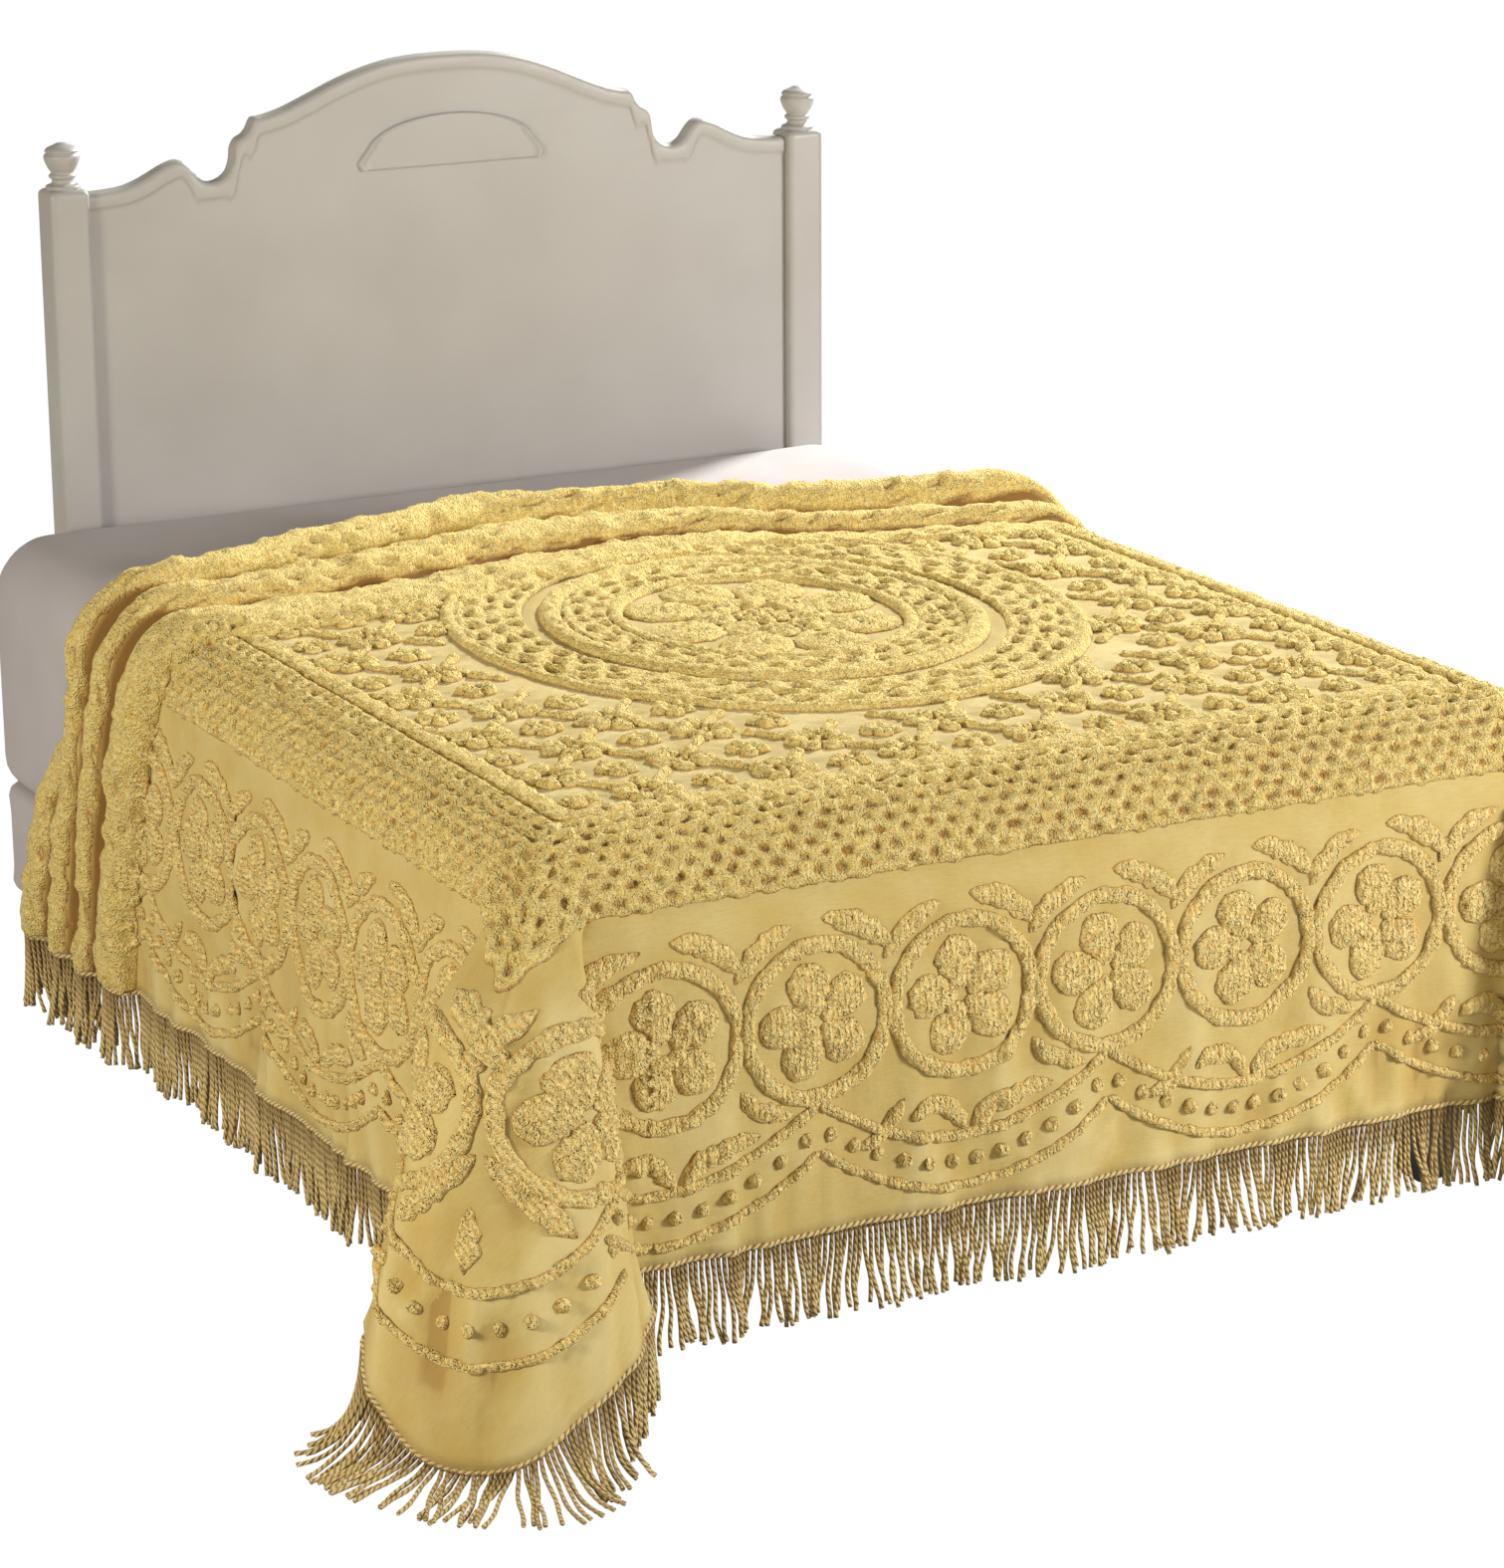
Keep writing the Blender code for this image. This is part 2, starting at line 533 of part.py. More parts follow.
def stack(name, rings, finish):
    """A closed body from plan outlines at rising heights: rings of (points, z)."""
    count = len(rings[0][0])
    points, faces = [], []
    for plan, z in rings:
        points += [(x, y, z) for x, y in plan]
    for k in range(len(rings) - 1):
        for i in range(count):
            j = (i + 1) % count
            a = k * count
            faces.append([a + i, a + j, a + count + j, a + count + i])
    faces.append(list(range(count))[::-1])
    faces.append([(len(rings) - 1) * count + i for i in range(count)])
    return add(name, points, faces, finish)


def build_mattress(finish):
    rings = []
    for t in np.linspace(0.0, np.pi / 2, 4):
        inset = MATTRESS_LOW_R * (1 - math.sin(t))
        z = MATTRESS_BOTTOM + MATTRESS_LOW_R * (1 - math.cos(t))
        rings.append((rounded_plan(MATTRESS_HALF_X - inset, MATTRESS_HALF_Y - inset, MATTRESS_R - inset * 0.9, 7), z))
    top = TOP - MATTRESS_GAP
    for t in np.linspace(0.0, np.pi / 2, 8):
        inset = MATTRESS_R * (1 - math.cos(t))
        z = top - MATTRESS_R * (1 - math.sin(t))
        radius = max(0.003, MATTRESS_R - inset)
        rings.append((rounded_plan(MATTRESS_HALF_X - inset, MATTRESS_HALF_Y - inset, radius, 7), z))
    return stack("mattress", rings, finish)


def build_base(finish):
    rings = []
    for inset, z in ((0.006, BASE_BOTTOM), (0.0, BASE_BOTTOM + 0.006), (0.0, MATTRESS_BOTTOM - GAP - 0.010), (0.010, MATTRESS_BOTTOM - GAP)):
        rings.append((rounded_plan(BASE_HALF_X - inset, BASE_HALF_Y - inset, BASE_CORNER_R - inset, 7), z))
    return stack("base", rings, finish)


def build_legs(finish):
    for row, y in zip("abc", LEG_ROWS_Y):
        for side, x in (("left", -LEG_X), ("right", LEG_X)):
            rings = []
            for half, z in ((LEG_HALF - 0.012, 0.0), (LEG_HALF - 0.010, 0.003), (LEG_HALF, BASE_BOTTOM - GAP)):
                rings.append(([(x + half * sx, y + half * sy) for sx, sy in ((1, 1), (-1, 1), (-1, -1), (1, -1))], z))
            stack("leg_%s_%s" % (side, row), rings, finish)


def build_headboard(finish):
    right = [(BOARD_X + p["x"], TOP + p["z"]) for p in BOARD_EDGE]
    left = [(BOARD_X - p["x"], TOP + p["z"]) for p in BOARD_EDGE[:0:-1]]
    top = left + right
    count = len(top)
    points, faces = [], []
    for y in (BOARD_Y - BOARD_THICK / 2, BOARD_Y + BOARD_THICK / 2):
        points += [(x, y, z) for x, z in top] + [(x, y, BOARD_BOTTOM) for x, _ in top]
    n = 2 * count
    for i in range(count - 1):
        faces.append([i, count + i, count + i + 1, i + 1])
        faces.append([n + i, n + i + 1, n + count + i + 1, n + count + i])
        faces.append([i, i + 1, n + i + 1, n + i])
        faces.append([count + i, n + count + i, n + count + i + 1, count + i + 1])
    faces.append([0, n, n + count, count])
    faces.append([count - 1, 2 * count - 1, n + 2 * count - 1, n + count - 1])
    return add("headboard", points, faces, finish)


def build_post(name, x, finish):
    """A square post that ends in a turned finial."""
    steps = 24
    angles = [2 * math.pi * (k + 0.5) / steps for k in range(steps)]

    def square(half):
        plan = []
        for a in angles:
            c, s = math.cos(a), math.sin(a)
            m = half / max(abs(c), abs(s))
            plan.append((x + m * c, BOARD_Y + m * s))
        return plan

    rings = [
        (square(POST_HALF - 0.004), 0.0), (square(POST_HALF), 0.004),
        (square(POST_HALF), POST_TOP - 0.006), (square(POST_HALF - 0.004), POST_TOP)]
    for row in FINIAL:
        rings.append(([(x + row["r"] * math.cos(a), BOARD_Y + row["r"] * math.sin(a)) for a in angles], POST_TOP + 0.0005 + row["z"] * 0.8))
    return stack(name, rings, finish)


def main():
    clear_scene()
    bpy.context.scene.unit_settings.scale_length = 1.0
    cloth = material("chenille_cloth", (0.78, 0.60, 0.22))
    yarn = material("fringe_yarn", (0.72, 0.54, 0.20))
    linen = material("white_linen", (0.70, 0.67, 0.68))
    paint = material("painted_wood", (0.72, 0.70, 0.68), 0.45)
    build_spread(cloth)
    build_fringe(yarn)
    build_mattress(linen)
    build_base(linen)
    build_legs(paint)
    build_headboard(paint)
    build_post("post_left", BOARD_X - POST_X, paint)
    build_post("post_right", BOARD_X + POST_X, paint)


main()
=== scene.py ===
"""Tufted chenille bedspread with a twisted fringe over a plain bed: the looks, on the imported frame."""

import math

import bmesh
import bpy
import numpy as np
from mathutils import Matrix, Vector


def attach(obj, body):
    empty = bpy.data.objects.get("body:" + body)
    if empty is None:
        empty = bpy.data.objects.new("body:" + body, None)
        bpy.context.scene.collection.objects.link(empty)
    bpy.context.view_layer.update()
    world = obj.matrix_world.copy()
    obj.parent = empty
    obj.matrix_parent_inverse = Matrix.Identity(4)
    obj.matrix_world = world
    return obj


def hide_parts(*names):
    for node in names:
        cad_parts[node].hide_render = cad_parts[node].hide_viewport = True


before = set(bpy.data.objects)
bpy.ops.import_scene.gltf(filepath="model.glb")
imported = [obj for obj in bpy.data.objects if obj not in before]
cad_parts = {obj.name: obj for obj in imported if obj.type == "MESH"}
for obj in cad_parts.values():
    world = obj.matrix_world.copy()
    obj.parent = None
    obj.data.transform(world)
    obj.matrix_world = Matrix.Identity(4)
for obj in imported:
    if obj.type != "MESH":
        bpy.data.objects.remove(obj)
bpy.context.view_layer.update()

# ---- the same drape as the CAD ------------------------------------------------------------------
BED_Y = 0.101
TOP = 0.640
HALF_X = 0.614
FOOT_Y = 0.826
EDGE_R = 0.086
MATTRESS_HALF_X = 0.698
MATTRESS_HALF_Y = 0.909
MATTRESS_R = 0.093
MATTRESS_BOTTOM = 0.275
BASE_HALF_X = 0.688
BASE_HALF_Y = 0.898
BASE_BOTTOM = 0.120
BOARD_X = 0.058
BOARD_Y = 0.945
BOARD_THICK = 0.034
BOARD_BOTTOM = 0.260
POST_X = 0.588
POST_HALF = 0.029
POST_TOP = TOP + 0.463
DROP = 0.5435
CORNER_R = 0.166
FLARE = 0.010
WAVE = 0.005
TONGUE = dict(start=0.115, full=0.700, leave=0.140, gone_deg=150.0)
TONGUE_TOP = dict(across=0.074, out=0.062, shift=0.018)
TONGUE_HEM = dict(across=0.172, out=0.134, shift=0.060)
KEEP_OFF = 0.0025
TONGUE_SLACK = 0.046
HEAD_FOLDS = (
    dict(u=-1.160, base=0.255, c1=0.295, c2=0.375, c3=0.460, c4=0.555, end=0.630, h1=0.034, h2=0.042, h3=0.044, h4=0.048),
    dict(u=-0.980, base=0.235, c1=0.277, c2=0.355, c3=0.437, c4=0.525, end=0.590, h1=0.036, h2=0.042, h3=0.042, h4=0.036),
    dict(u=-0.850, base=0.200, c1=0.245, c2=0.325, c3=0.405, c4=0.465, end=0.510, h1=0.036, h2=0.041, h3=0.039, h4=0.012),
    dict(u=-0.700, base=0.145, c1=0.200, c2=0.285, c3=0.375, c4=0.435, end=0.475, h1=0.032, h2=0.040, h3=0.045, h4=0.006),
    dict(u=-0.570, base=0.100, c1=0.165, c2=0.258, c3=0.355, c4=0.418, end=0.460, h1=0.024, h2=0.038, h3=0.050, h4=0.005),
    dict(u=-0.360, base=0.125, c1=0.190, c2=0.310, c3=0.435, c4=0.505, end=0.550, h1=0.018, h2=0.036, h3=0.051, h4=0.005),
    dict(u=-0.100, base=0.200, c1=0.260, c2=0.390, c3=0.515, c4=0.585, end=0.630, h1=0.014, h2=0.034, h3=0.048, h4=0.005),
    dict(u=0.140, base=0.250, c1=0.290, c2=0.375, c3=0.475, c4=0.545, end=0.590, h1=0.008, h2=0.030, h3=0.047, h4=0.005),
    dict(u=0.370, base=0.170, c1=0.200, c2=0.270, c3=0.365, c4=0.435, end=0.480, h1=0.004, h2=0.022, h3=0.046, h4=0.005),
    dict(u=0.600, base=0.110, c1=0.135, c2=0.215, c3=0.315, c4=0.385, end=0.430, h1=0.003, h2=0.018, h3=0.046, h4=0.005),
    dict(u=0.700, base=0.090, c1=0.120, c2=0.205, c3=0.300, c4=0.370, end=0.415, h1=0.006, h2=0.022, h3=0.045, h4=0.007),
    dict(u=0.850, base=0.105, c1=0.150, c2=0.230, c3=0.315, c4=0.385, end=0.430, h1=0.020, h2=0.034, h3=0.042, h4=0.016),
    dict(u=1.160, base=0.130, c1=0.185, c2=0.270, c3=0.355, c4=0.435, end=0.500, h1=0.040, h2=0.042, h3=0.042, h4=0.030),
)
FOLDS = 4
VALLEY_AT = 0.60
VALLEY_LEFT = 0.12
FOLD_BULGE = 0.004
FRINGE_LONG = 0.100

BOARD_EDGE = (
    (0.000, 0.617), (0.045, 0.616), (0.090, 0.611), (0.135, 0.600), (0.175, 0.586), (0.215, 0.569),
    (0.255, 0.553), (0.285, 0.545), (0.300, 0.543), (0.306, 0.532), (0.315, 0.521), (0.327, 0.514),
    (0.332, 0.503), (0.333, 0.490), (0.338, 0.475), (0.348, 0.463), (0.362, 0.457), (0.377, 0.458),
    (0.389, 0.466), (0.398, 0.478), (0.408, 0.488), (0.420, 0.491), (0.440, 0.485), (0.462, 0.474),
    (0.485, 0.464), (0.510, 0.458), (0.558, 0.455))
FINIAL = (
    (0.0240, 0.000), (0.0240, 0.006), (0.0170, 0.010), (0.0150, 0.016), (0.0190, 0.021), (0.0190, 0.025),
    (0.0160, 0.029), (0.0200, 0.037), (0.0240, 0.048), (0.0255, 0.058), (0.0220, 0.064), (0.0240, 0.067),
    (0.0200, 0.073), (0.0110, 0.078), (0.0060, 0.081))


def smooth(t):
    t = np.clip(t, 0.0, 1.0)
    return t * t * (3.0 - 2.0 * t)


def lerp(a, b, t):
    return a + (b - a) * t


FOLD_AT = np.array([r["u"] for r in HEAD_FOLDS])
FOLD_COLS = {n: np.array([r[n] for r in HEAD_FOLDS]) for n in ("base", "c1", "c2", "c3", "c4", "end", "h1", "h2", "h3", "h4")}


def fold_row(u):
    u = np.clip(u, FOLD_AT[0], FOLD_AT[-1])
    i = np.clip(np.searchsorted(FOLD_AT, u) - 1, 0, len(FOLD_AT) - 2)
    t = (u - FOLD_AT[i]) / (FOLD_AT[i + 1] - FOLD_AT[i])
    t = smooth(t) * 0.5 + t * 0.5
    return {n: lerp(c[i], c[i + 1], t) for n, c in FOLD_COLS.items()}


def fold_spans(row):
    valleys = [lerp(row["c%d" % k], row["c%d" % (k + 1)], VALLEY_AT) for k in range(1, FOLDS)]
    return (row["base"], *valleys), (*valleys, row["end"])


def head_fold(u, q):
    row = fold_row(u)
    starts, ends = fold_spans(row)
    y = np.zeros_like(u)
    h = np.zeros_like(u)
    k = np.clip(np.floor(q).astype(int), 0, FOLDS - 1)
    f = q - k
    for i in range(FOLDS):
        here = k == i
        crest, height = row["c%d" % (i + 1)], row["h%d" % (i + 1)]
        before = height * 0 if i == 0 else VALLEY_LEFT * row["h%d" % i]
        after = height * 0 if i == FOLDS - 1 else VALLEY_LEFT * height
        hump = np.sin(np.pi * f) ** 1.45
        rest = np.where(f < 0.5, before, after) * (1 - hump)
        straight = np.where(f < 0.5, lerp(starts[i], crest, 2 * f), lerp(crest, ends[i], 2 * f - 1))
        bulge = FOLD_BULGE * np.minimum(1.0, height / 0.02) * np.sin(2 * np.pi * f)
        y = np.where(here, straight - bulge, y)
        h = np.where(here, height * hump + rest, h)
    return y, h


def fold_lengths(u):
    """Start of the folds on the flat cloth and the flat length that each takes."""
    row = fold_row(u)
    starts, ends = fold_spans(row)
    out = []
    for i in range(FOLDS):
        w = ends[i] - starts[i]
        out.append(w * np.sqrt(1 + 4.93 * (row["h%d" % (i + 1)] / w) ** 2))
    return row["base"], out


def fold_q(u, v):
    """q of flat points: under 0 before the folds."""
    base, lengths = fold_lengths(u)
    q = np.full_like(u, -1.0)
    run = base.copy()
    for i, length in enumerate(lengths):
        inside = v > run
        q = np.where(inside, i + np.clip((v - run) / length, 0.0, 1.0), q)
        run = run + length
    return np.minimum(q, FOLDS - 1e-6)


def fold_v(u, q):
    base, lengths = fold_lengths(u)
    v = base.copy()
    for i, length in enumerate(lengths):
        v = v + length * np.clip(q - i, 0.0, 1.0)
    return v


def edge_turn(d):
    t = np.clip(d / EDGE_R, 0.0, np.pi / 2)
    past = np.maximum(0.0, d - EDGE_R * np.pi / 2)
    return EDGE_R * np.sin(t), EDGE_R * (1 - np.cos(t)) + past, t


def swing(s, d):
    depth = np.clip((d - EDGE_R * np.pi / 2) / (DROP - EDGE_R * np.pi / 2), 0.0, 1.3)
    wave = np.sin(2 * np.pi * s / 0.63 + 0.8) + 0.6 * np.sin(2 * np.pi * s / 0.37 + 2.1)
    return FLARE * depth + WAVE * depth * (1.0 + 0.6 * wave)


def tongue_outline(depth):
    full = smooth((depth - TONGUE["start"]) / (TONGUE["full"] - TONGUE["start"])) * 0.35
    full += 0.65 * np.clip((depth - TONGUE["start"]) / (TONGUE["full"] - TONGUE["start"]), 0.0, 1.05)
    across, out, shift = (lerp(TONGUE_TOP[n], TONGUE_HEM[n], full) for n in ("across", "out", "shift"))
    root = math.sqrt(0.5)
    gone = math.radians(TONGUE["gone_deg"])
    phi = np.linspace(gone, -gone, 161)
    lobe = np.stack([
        -shift - root * out * np.cos(phi) + root * across * np.sin(phi),
        -shift - root * out * np.cos(phi) - root * across * np.sin(phi)], 1)
    start = np.array([TONGUE["leave"], 0.0])
    heading = lobe[1] - lobe[0]
    heading /= np.linalg.norm(heading)
    reach = 1.35 * np.linalg.norm(lobe[0] - start)
    t = np.linspace(0.0, 1.0, 41)[:-1, None]
    arm = (
        (2 * t**3 - 3 * t**2 + 1) * start + (t**3 - 2 * t**2 + t) * reach * np.array([-1.0, 0.0])
        + (-2 * t**3 + 3 * t**2) * lobe[0] + (t**3 - t**2) * reach * heading)
    return np.concatenate([arm, lobe, arm[::-1, ::-1]])


def tongue_table():
    depths = np.linspace(0.05, 0.76, 48)
    share = np.linspace(0.0, 1.0, 241)
    table = np.empty((len(depths), len(share), 2))
    for i, depth in enumerate(depths):
        line = tongue_outline(depth)
        run = np.concatenate([[0.0], np.cumsum(np.linalg.norm(np.diff(line, axis=0), axis=1))])
        for k in range(2):
            table[i, :, k] = np.interp(share, run / run[-1], line[:, k])
    return depths, share, table


TONGUE_DEPTHS, TONGUE_SHARES, TONGUE_PLAN = tongue_table()


def tongue_point(s, d):
    lead = TONGUE["leave"] - EDGE_R
    whole = np.pi / 2 * d + 2 * lead
    share = np.clip(s / whole, 0.0, 1.0)
    out, _, _ = edge_turn(d)
    turn = np.clip((s - lead) / np.maximum(d, 1e-9), 0.0, np.pi / 2)
    straight_in = np.maximum(0.0, lead - s)
    straight_out = np.maximum(0.0, s - lead - np.pi / 2 * d)
    plain_x = EDGE_R - out * np.sin(turn) + straight_in
    plain_y = EDGE_R - out * np.cos(turn) + straight_out
    i = np.clip((d - TONGUE_DEPTHS[0]) / (TONGUE_DEPTHS[1] - TONGUE_DEPTHS[0]), 0, len(TONGUE_DEPTHS) - 1.001)
    j = np.clip(share * (len(TONGUE_SHARES) - 1), 0, len(TONGUE_SHARES) - 1.001)
    i0, j0 = i.astype(int), j.astype(int)
    fi, fj = (i - i0)[:, None], (j - j0)[:, None]
    full = (
        TONGUE_PLAN[i0, j0] * (1 - fi) * (1 - fj) + TONGUE_PLAN[i0 + 1, j0] * fi * (1 - fj)
        + TONGUE_PLAN[i0, j0 + 1] * (1 - fi) * fj + TONGUE_PLAN[i0 + 1, j0 + 1] * fi * fj)
    grown = smooth((d - 0.085) / 0.150)
    x, y = lerp(plain_x, full[:, 0], grown), lerp(plain_y, full[:, 1], grown)
    limit = out + KEEP_OFF * grown
    off_x, off_y = EDGE_R - x, EDGE_R - y
    away = np.hypot(off_x, off_y)
    push = np.where((off_x > 0) & (off_y > 0) & (away < limit), limit / np.maximum(away, 1e-9), 1.0)
    x, y = EDGE_R - off_x * push, EDGE_R - off_y * push
    y = np.where(off_x <= 0, np.minimum(y, EDGE_R - limit), y)
    x = np.where(off_y <= 0, np.minimum(x, EDGE_R - limit), x)
    return x, y, share, grown


def surface(u, v, q):
    """Underside of the cloth for flat points; q of 0 or more is a place in the head folds."""
    side = np.where(u < 0, -1.0, 1.0)
    du = np.maximum(0.0, np.abs(u) - HALF_X)
    dv = np.where(q < 0, np.maximum(0.0, -FOOT_Y - v), 0.0)
    lead = TONGUE["leave"] - EDGE_R
    fold_y, fold_h = head_fold(u, np.maximum(q, 0.0))
    y = np.where(q >= 0, fold_y, v)
    h = np.where(q >= 0, fold_h, 0.0)
    out, down, tilt = edge_turn(du)
    stand = swing(y + 0.2 * side, du) + h * np.sin(tilt)
    x = np.where(du > 0, side * (HALF_X + out + stand), u)
    z = TOP - down + h * np.cos(tilt)
    out_f, down_f, _ = edge_turn(dv)
    foot = (dv > 0) & (du == 0)
    x = np.where(foot, u, x)
    y = np.where(foot, -FOOT_Y - out_f - swing(u, dv), y)
    z = np.where(foot, TOP - down_f, z)
    from_foot = lead - (HALF_X - np.abs(u))
    from_side = v + FOOT_Y
    rho = np.hypot(du, dv)
    theta = np.arctan2(du, dv)
    in_corner = (du > 0) & (dv > 0)
    near_foot = foot & (from_foot > 0)
    near_side = (du > 0) & (dv == 0) & (q < 0) & (from_side < lead)
    s = np.where(near_foot, from_foot, np.where(near_side, lead + np.pi / 2 * du + from_side, lead + rho * theta))
    depth = np.where(near_foot, dv, np.where(near_side, du, rho))
    cx, cy, share, grown = tongue_point(s, depth)
    corner = in_corner | near_foot | near_side
    inside = np.sin(np.pi * share) ** 2
    _, down_c, _ = edge_turn(depth)
    past = np.maximum(0.0, depth - EDGE_R * np.pi / 2)
    foot_swing = swing(side * (HALF_X - lead), depth) * smooth(1 - 3 * share)
    side_swing = swing(lead - FOOT_Y + 0.2 * side, depth) * smooth(3 * share - 2)
    x = np.where(corner, side * (HALF_X + EDGE_R - cx + side_swing), x)
    y = np.where(corner, -(FOOT_Y + EDGE_R) + cy - foot_swing, y)
    z = np.where(corner, TOP - down_c + past * TONGUE_SLACK * grown * inside, z)
    return np.stack([x, y, z], -1)


def hem_depth(theta):
    c = DROP - CORNER_R
    along = c * (np.cos(theta) + np.sin(theta))
    rounded = along + np.sqrt(np.maximum(0.0, along**2 - 2 * c * c + CORNER_R**2))
    straight = DROP / np.maximum(np.cos(theta), np.sin(theta))
    other = straight * np.minimum(np.cos(theta), np.sin(theta))
    return np.where(other <= c, straight, rounded)


# ---- noise --------------------------------------------------------------------------------------
def lattice(i, j, seed):
    n = np.sin(i * 127.1 + j * 311.7 + seed * 74.7) * 43758.5453
    return n - np.floor(n)


def noise(x, y, seed=0):
    """Smooth noise from -1 to 1, one bump a unit."""
    xi, yi = np.floor(x), np.floor(y)
    fx, fy = smooth(x - xi), smooth(y - yi)
    a = lerp(lattice(xi, yi, seed), lattice(xi + 1, yi, seed), fx)
    b = lerp(lattice(xi, yi + 1, seed), lattice(xi + 1, yi + 1, seed), fx)
    return 2 * lerp(a, b, fy) - 1


# ---- the cloth with its soft creases --------------------------------------------------------------
GROUND_LOW = 0.0006  # underside of the ground over the CAD underside
GROUND_TOP = 0.0026
STEP = 0.0015


def creases(u, v):
    """Height of the soft creases and undulations over the plain drape, in metres."""
    du = np.maximum(0.0, np.abs(u) - HALF_X)
    dv = np.maximum(0.0, -FOOT_Y - v)
    d = np.hypot(du, dv)
    corner = (du > 0.0) & (dv > 0.0)
    theta = np.arctan2(du, np.maximum(dv, 1e-6))
    side = (du > dv) & ~corner
    across = np.where(corner, theta * 0.45, np.where(dv >= du, u, v))
    hang = smooth((d - 0.13) / 0.12)
    h = 0.0018 * noise(u / 0.085, v / 0.085, 3) + 0.0013 * noise(u / 0.031, v / 0.031, 4)
    h = h * (0.45 + 0.55 * hang)
    h = h + hang * (0.0036 * noise(across / 0.050, d / 0.36, 8) + 0.0015 * noise(across / 0.019, d / 0.20, 12))
    run = np.maximum(0.0, 1.0 - np.abs(noise(across / 0.062 + 0.25 * noise(d / 0.09, across / 0.2, 22), d / 0.34, 21)) / 0.24)
    h = h + hang * np.where(corner, 0.0075, 0.0056) * run**1.5 * smooth((noise(across / 0.11, d / 0.13, 23) + 0.30) / 0.5)
    h = h + hang * np.where(side, 0.0030, 0.0) * noise(v / 0.110, du / 0.150, 9)
    hem = smooth((d - 0.34) / 0.18)
    h = h + hem * 0.0052 * noise(across / 0.036, d / 0.30, 5) + hem * 0.0022 * noise(across / 0.014, d / 0.12, 6)
    fall = np.where(corner, smooth((d - 0.22) / 0.25), 0.0)
    h = h + fall * (0.0062 * np.sin(theta * 13.0 + 0.6) + 0.0042 * noise(theta * 6.0, d / 0.25, 7) + 0.0028 * noise(theta * 15.0, d / 0.10, 10))
    slant = np.maximum(0.0, 1.0 - np.abs(noise((across + 0.6 * d) / 0.052, (d - 0.5 * across) / 0.090, 24)) / 0.30)
    h = h + 0.0050 * smooth((d - 0.40) / 0.10) * slant**1.4 * smooth((noise(across / 0.13, d / 0.10, 25) + 0.35) / 0.5)
    return h


def cloth(u, v, height, q=None):
    """Points of the real cloth: flat (u, v), at a height over the CAD underside."""
    if q is None:
        q = fold_q(u, v)

    def at(a, b, c):
        return surface(a, b, c)

    def moved(a, b):
        return at(a, b, fold_q(a, b))

    if np.any(q >= 0):
        vv = np.where(q >= 0, fold_v(u, np.maximum(q, 0.0)), v)
    else:
        vv = v
    du = (moved(u + STEP, vv) - moved(u - STEP, vv))
    dv = (moved(u, vv + STEP) - moved(u, vv - STEP))
    n = np.cross(du, dv)
    n /= np.maximum(np.linalg.norm(n, axis=1), 1e-12)[:, None]
    p = at(u, v, q) + n * (height + creases(u, vv))[:, None]
    p[:, 1] += BED_Y
    return p, n, vv


# ---- mesh helpers ---------------------------------------------------------------------------------
def make(name, points, faces, uv=None, pile=None, smooth_shade=True):
    mesh = bpy.data.meshes.new(name)
    points = np.asarray(points, np.float32)
    mesh.from_pydata(points.tolist(), [], faces if isinstance(faces, list) else faces.tolist())
    if uv is not None:
        layer = mesh.uv_layers.new(name="flat")
        index = np.empty(len(mesh.loops), np.int32)
        mesh.loops.foreach_get("vertex_index", index)
        layer.data.foreach_set("uv", np.asarray(uv, np.float32)[index].ravel())
    if pile is not None:
        mesh.attributes.new("pile", "FLOAT", "POINT").data.foreach_set("value", np.asarray(pile, np.float32))
    if smooth_shade:
        mesh.polygons.foreach_set("use_smooth", [True] * len(mesh.polygons))
    mesh.update()
    obj = bpy.data.objects.new(name, mesh)
    bpy.context.scene.collection.objects.link(obj)
    return obj


def grid_faces(rows, cols, first=0, closed=False):
    i, j = np.meshgrid(np.arange(rows - 1), np.arange(cols if closed else cols - 1), indexing="ij")
    k = (j + 1) % cols
    return (first + np.stack([i * cols + j, i * cols + k, (i + 1) * cols + k, (i + 1) * cols + j], -1)).reshape(-1, 4)


